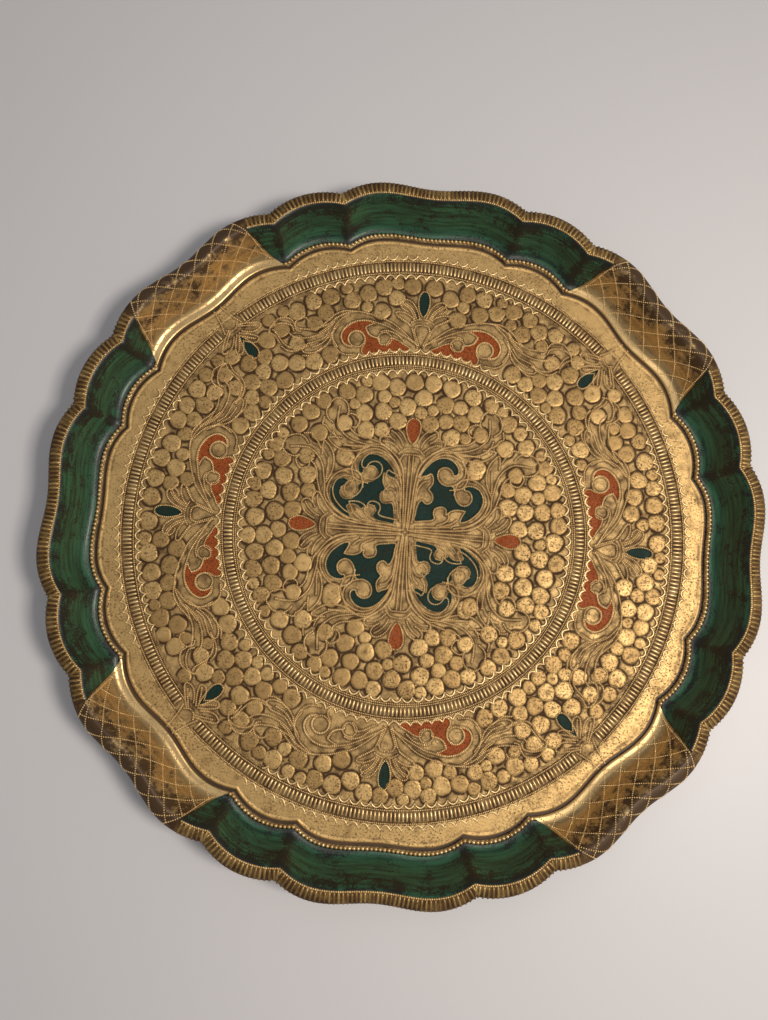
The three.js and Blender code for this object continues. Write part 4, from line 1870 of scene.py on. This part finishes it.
@dataclass
class RibbedEdge:
    """Rolled edge outside a painted cove: gilded ribs on a brown ground, and a beaded fillet."""

    side: Side
    material: bpy.types.Material
    bright: bpy.types.Material
    patterns: Patterns
    pitch: float = 2.3
    fillet_pitch: float = 1.2
    rib_width: float = 1.6

    def rib(self) -> bpy.types.Mesh:
        """Mesh of one rib, bent over the roll, with X outwards from the fillet."""
        curve = SHAPE.roll_curve(8)[:-2]
        along = np.gradient(curve, axis=0)
        normal = np.stack([-along[:, 1], along[:, 0]], 1) / np.hypot(along[:, 0], along[:, 1])[:, None]
        profile = ((-0.5, -0.3), (-0.3, 0.75), (0.0, 1.0), (0.3, 0.75), (0.5, -0.3))
        points, wash = [], []
        for k, ((r, z), (nr, nz)) in enumerate(zip(curve, normal)):
            taper = (0.75, 1.0, 1.0, 1.0, 1.0, 0.85, 0.5)[k]
            for across, up in profile:
                rise = up * SHAPE.relief * 0.9 * taper
                aside = across * self.rib_width * taper
                points.append((r - SHAPE.cove_outer + nr * rise, aside, z + nz * rise))
                wash.append(0.85 if up < 0 else (0.0, 0.12, 0.24, 0.32, 0.40, 0.48, 0.55)[k])
        mesh = mesh_from("rib", np.array(points), tube_faces(len(curve), len(profile)))
        store(mesh, "patina", wash)
        work = bmesh.new()
        work.from_mesh(mesh)
        bmesh.ops.recalc_face_normals(work, faces=work.faces)
        work.to_mesh(mesh)
        work.free()
        return mesh

    def stations(self, crest: float, pitch: float) -> tuple[np.ndarray, np.ndarray, np.ndarray]:
        """Spaces places evenly along the rim.

        Args:
            crest: Crest radius of the places.
            pitch: Distance between them.

        Returns:
            Their places in plan, the outward direction at each in radians, and their directions in degrees.
        """
        fine = limited_angles(np.array([(crest, 0.0)]), np.linspace(-1, 1, 2400), 0.9)[:, 0]
        radius = SHAPE.radius(crest, fine)
        line = np.stack([radius * np.cos(np.radians(fine)), radius * np.sin(np.radians(fine))], 1)
        run = np.concatenate([[0.0], np.cumsum(np.hypot(*np.diff(line, axis=0).T))])
        count = round(run[-1] / pitch)
        marks = (np.arange(count) + 0.5) * run[-1] / count
        spots = np.stack([np.interp(marks, run, line[:, k]) for k in (0, 1)], 1)
        after, before = (
            np.stack([np.interp(marks + shift, run, line[:, k]) for k in (0, 1)], 1) for shift in (1.2, -1.2)
        )
        ahead = after - before
        return spots, np.arctan2(-ahead[:, 0], ahead[:, 1]), np.interp(marks, run, fine)

    def build(self) -> None:
        """Builds the roll, its ribs and its fillet."""
        name = self.side.name.lower()
        section = thick(SHAPE.roll_curve(), SHAPE.gesso)
        angles = limited_angles(section, columns_for(0.5), 0.08)
        place = (section[:, 0] - SHAPE.cove_outer) / SHAPE.edge_width
        patina = np.broadcast_to(0.70 - 0.15 * smooth_step(place, 0.75, 0.97), angles.shape)
        rim_piece(
            f"edge_roll_{name}", section, angles, self.side.value, self.material, "gilt_edge",
            f"ribbed_edge_{name}", patina=patina,
        )
        spots, outward, degrees = self.stations(SHAPE.cove_outer, self.pitch)
        nose = SHAPE.radius(SHAPE.tray_radius, degrees) - SHAPE.radius(SHAPE.cove_outer, degrees)
        sizes = np.stack([nose / SHAPE.edge_width, np.ones(len(nose)), np.ones(len(nose))], 1)
        places = turned(np.concatenate([spots, np.zeros((len(spots), 1))], 1), self.side.value)
        turns = outward + math.radians(self.side.value)
        placing = self.patterns.placing
        ribs = placing.place(f"edge_ribs_{name}", self.rib(), places, turns, sizes, self.material)
        settle(ribs, "gilt_edge")
        spots, _, _ = self.stations(SHAPE.cove_outer + 0.1, self.fillet_pitch)
        line = np.concatenate([spots, np.full((len(spots), 1), SHAPE.cove_top - 0.45)], 1)
        carrier = curves_from(f"fillet_{name}_line", [turned(line, self.side.value)])
        size = (1.5 * MM, 1.1 * MM)
        beads = self.patterns.beads
        fillet = beads.string(f"fillet_{name}", carrier, self.fillet_pitch * MM, size, self.bright)
        settle(fillet, "gilt_edge")


@dataclass
class LatticePanel:
    """Gilded panel on one corner of the rim, with a raised dotted lattice."""

    corner: Corner
    material: bpy.types.Material
    dots: bpy.types.Material
    patterns: Patterns
    spacing: float = 12.6
    lattice_radius: float = 186.0  # radius at which the spacing along the rim is true
    lift: float = 0.02  # height of the dots' middles over the face
    dot_pitch: float = 1.25

    def face(self) -> np.ndarray:
        """Crest radius and height of the panel's face, from the groove to the nose."""
        bottom = SHAPE.floor_height - 0.3
        foot = np.array([(0.0, -0.6), (0.4, 0.0), (1.3, 0.15)]) + (SHAPE.bead_inner, bottom)
        return np.vstack([foot, SHAPE.face_curve()])

    def lattice(self) -> list[np.ndarray]:
        """Lines of the lattice over the corner at 45 degrees, at 45 degrees to the rim along its surface."""
        face = self.face()
        run = np.concatenate([[0.0], np.cumsum(np.hypot(*np.diff(face, axis=0).T))])
        start = np.interp(SHAPE.cove_inner - 1.0, face[:, 0], run)
        along = np.arange(start, run[-1] - 2.0, 0.4)
        crest, z = (np.interp(along, run, face[:, k]) for k in (0, 1))
        lines = []
        for middle in (np.arange(-9, 10) + 0.5) * self.spacing:
            for lean in (1, -1):
                degrees = 45.0 + np.degrees((middle + lean * (along - along.mean())) / self.lattice_radius)
                radius = SHAPE.radius(crest, degrees)
                limit = SHAPE.panel_limit(radius) + 0.4
                keep = (degrees > limit) & (degrees < 90 - limit)
                if keep.sum() < 4:
                    continue
                rad = np.radians(degrees[keep])
                flat = (radius[keep] * np.cos(rad), radius[keep] * np.sin(rad))
                lines.append(np.stack([*flat, z[keep] + self.lift], 1))
        for mirrored in (False, True):
            crest = np.linspace(SHAPE.cove_inner - 1.5, SHAPE.tray_radius - 2.0, 60)
            limit = SHAPE.panel_limit(SHAPE.radius(crest, 32.5)) + 0.35
            radius = SHAPE.radius(crest, limit)
            rad = np.radians(90 - limit if mirrored else limit)
            z = np.interp(crest, face[:, 0], face[:, 1]) + self.lift
            lines.append(np.stack([radius * np.cos(rad), radius * np.sin(rad), z], 1))
        return lines

    def build(self) -> None:
        """Builds the panel and its lattice."""
        name = self.corner.name.lower()
        section = thick(self.face(), SHAPE.gesso)
        angles = panel_angles(section, np.linspace(-1, 1, 61), 0.08)
        outwards = (section[:, 0] - SHAPE.cove_inner) / (SHAPE.tray_radius - SHAPE.cove_inner)
        turn = self.corner.value - 45.0
        rim_piece(
            f"gilt_panel_{name}", section, angles, turn, self.material, "gilt_panel",
            f"lattice_panel_{name}", outwards=np.broadcast_to(outwards, angles.shape),
        )
        lines = [turned(line, turn) for line in self.lattice()]
        carrier = curves_from(f"lattice_{name}_lines", lines)
        size = (1.0 * MM, 0.85 * MM)
        dots = self.patterns.beads.string(f"lattice_{name}", carrier, self.dot_pitch * MM, size, self.dots)
        settle(dots, "gilt_panel")


@dataclass
class RimBack:
    """Shaped wooden back of the rim on one side of the tray."""

    side: Side
    material: bpy.types.Material
    back_steps: tuple[float, ...] = (1.0, 0.92, 0.82, 0.7, 0.57, 0.44, 0.32, 0.21, 0.12, 0.05)

    def build(self) -> None:
        """Builds the wood from its rebate round to its foot."""
        lip = SHAPE.floor_edge - SHAPE.lip_width
        top = thick(SHAPE.face_curve(), SHAPE.gesso + 0.2)[len(SHAPE.face_curve()) :][::-1]
        top = top[(top[:, 0] > SHAPE.cove_inner - 0.2)]
        nose = top[-1]
        foot = SHAPE.cove_inner + SHAPE.lip_thickness
        back = [(foot + (nose[0] - foot) * t**0.85, nose[1] * t**1.45) for t in self.back_steps[1:]]
        rebate = [(SHAPE.floor_edge + SHAPE.gap, z) for z in (SHAPE.lip_thickness, SHAPE.seat_height)]
        seat = [(SHAPE.cove_inner - SHAPE.gap, SHAPE.seat_height)]
        inner = [(lip, 0.0), (lip, SHAPE.lip_thickness)]
        section = np.vstack([inner, rebate, seat, top, back, [(foot, 0.0)]])
        plain = np.zeros(len(section), bool)
        plain[:2] = True
        half = 45.0 - math.degrees(SHAPE.gap / 2 / lip)
        marks = np.unique(np.concatenate([np.linspace(0, 45, 91), SHAPE.notches]))
        marks = np.minimum(marks, half)
        columns = np.concatenate([-marks[:0:-1], marks])
        name = self.side.name.lower()
        rim_piece(
            f"rim_back_{name}", section, np.repeat(columns[:, None], len(section), 1), self.side.value,
            self.material, "rim_back", f"rim_segment_{name}", sharp=35.0, plain=plain,
        )


@dataclass
class Woodwork:
    """Floor board and joint keys, which keep their CAD shapes."""

    board: WoodFinish
    key: WoodFinish

    def dress(self) -> None:
        """Gives the CAD pieces their finishes."""
        board, key = self.board.material(), self.key.material()
        for name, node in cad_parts.items():
            if name == "floor_board" or name.startswith("joint_key"):
                node.data.materials.clear()
                node.data.materials.append(board if name == "floor_board" else key)
                log.info("%s keeps its CAD shape", name)


@dataclass
class Studio:
    """Table, lights and camera."""

    eye: tuple[float, float, float] = (-0.0211, -0.0339, 0.4470)
    forward: tuple[float, float, float] = (0.0182, 0.1035, -0.9945)
    up: tuple[float, float, float] = (-0.0895, 0.9908, 0.1015)
    lens: float = 27.03
    table_colour: Colour = (0.70, 0.68, 0.69, 1.0)
    cloud_colour: Colour = (0.64, 0.62, 0.63, 1.0)

    def build_table(self) -> None:
        """Makes the plain pale table that the tray lies on."""
        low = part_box("floor_board")[0].z
        mesh = bpy.data.meshes.new("table")
        half = 3.0
        corners = ((-1, -1), (1, -1), (1, 1), (-1, 1))
        mesh.from_pydata([(x * half, y * half, low - 0.0002) for x, y in corners], [], [[0, 1, 2, 3]])
        material, bench = start_material("table_top", self.table_colour)
        place = bench.add("ShaderNodeTexCoord").outputs["Object"]
        cloud = bench.noise(place, 3.0, 3.0)
        clouds = bench.ramp(cloud, 0.3, 0.7, 0.0, 0.25)
        colour = bench.blend(clouds, self.table_colour, self.cloud_colour)
        shader = bench.add("ShaderNodeBsdfPrincipled", {"Base Color": colour, "Roughness": 0.45})
        bench.add("ShaderNodeOutputMaterial", {0: shader.outputs[0]})
        mesh.materials.append(material)
        new_object("table", mesh)

    def light(
        self,
        name: str,
        place: tuple[float, float, float],
        size: float,
        power: float,
        colour: tuple[float, float, float],
    ) -> None:
        """Hangs a square lamp that looks at the tray.

        Args:
            name: Its name.
            place: Where it hangs, in metres.
            size: Its width in metres.
            power: Its power in watts.
            colour: Its colour.
        """
        lamp = bpy.data.lights.new(name, "AREA")
        lamp.size, lamp.energy, lamp.color = size, power, colour
        made = new_object(name, lamp)
        made.location = place
        made.rotation_euler = (-Vector(place)).to_track_quat("-Z", "Y").to_euler()

    def build(self) -> None:
        """Builds the studio."""
        self.build_table()
        world = bpy.data.worlds.new("room")
        world.use_nodes = True
        world.node_tree.nodes["Background"].inputs[0].default_value = (0.80, 0.78, 0.78, 1.0)
        world.node_tree.nodes["Background"].inputs[1].default_value = 0.24
        bpy.context.scene.world = world
        self.light("key_lamp", (0.45, -0.09, 0.80), 0.22, 6.0, (1.0, 0.93, 0.84))
        self.light("soft_lamp", (-0.25, 0.35, 1.3), 1.2, 2.4, (0.92, 0.96, 1.0))
        data = bpy.data.cameras.new("camera")
        data.lens, data.sensor_width = self.lens, 36.0
        data.clip_start, data.clip_end = 0.01, 20.0
        camera = new_object("camera", data)
        back = -Vector(self.forward).normalized()
        up = (Vector(self.up) - back * Vector(self.up).dot(back)).normalized()
        turn = Matrix((up.cross(back), up, back)).transposed()
        camera.matrix_world = Matrix.Translation(self.eye) @ turn.to_4x4()
        bpy.context.scene.camera = camera
        bpy.context.scene.view_settings.view_transform = "Standard"


def main() -> None:
    """Builds the tray round its frame."""
    logging.basicConfig(level=logging.INFO, format="%(message)s")
    patterns = Patterns(BeadString(), Placing(), Lace())
    floor = GiltFinish("gilt_floor", roughness=0.52, speckle=0.8, grain=0.75)
    lines = GiltFinish(
        "gilt_lines",
        bright=(0.95, 0.70, 0.35, 1.0),
        dull=(0.72, 0.48, 0.21, 1.0),
        roughness=0.40,
        speckle=0.15,
    )
    EmbossedFloor(Ornament(), patterns, floor, lines).build()
    paint = GreenPaintFinish("green_paint").material()
    pearls = GiltFinish(
        "gilt_pearls",
        bright=(0.86, 0.63, 0.31, 1.0),
        dull=(0.60, 0.39, 0.16, 1.0),
        roughness=0.38,
        speckle=0.2,
    ).material()
    edge = GiltFinish(
        "gilt_edge", bright=(0.58, 0.38, 0.14, 1.0), dull=(0.30, 0.18, 0.06, 1.0), roughness=0.5, speckle=0.8
    ).material()
    back = WashFinish("umber_wash").material()
    for side in Side:
        GreenCove(side, paint).build()
        PearlString(side, pearls, patterns).build()
        RibbedEdge(side, edge, pearls, patterns).build()
        RimBack(side, back).build()
    panel = PanelGiltFinish("panel_gilt").material()
    dots = bpy.data.materials["gilt_lines"]
    for corner in Corner:
        LatticePanel(corner, panel, dots, patterns).build()
    board = WoodFinish("stained_board", (0.16, 0.085, 0.035, 1.0), (0.055, 0.028, 0.012, 1.0))
    key = WoodFinish("beech_key", (0.52, 0.34, 0.17, 1.0), (0.30, 0.17, 0.07, 1.0), (180.0, 180.0, 20.0))
    Woodwork(board, key).dress()
    Studio().build()


if __name__ == "__main__":
    main()
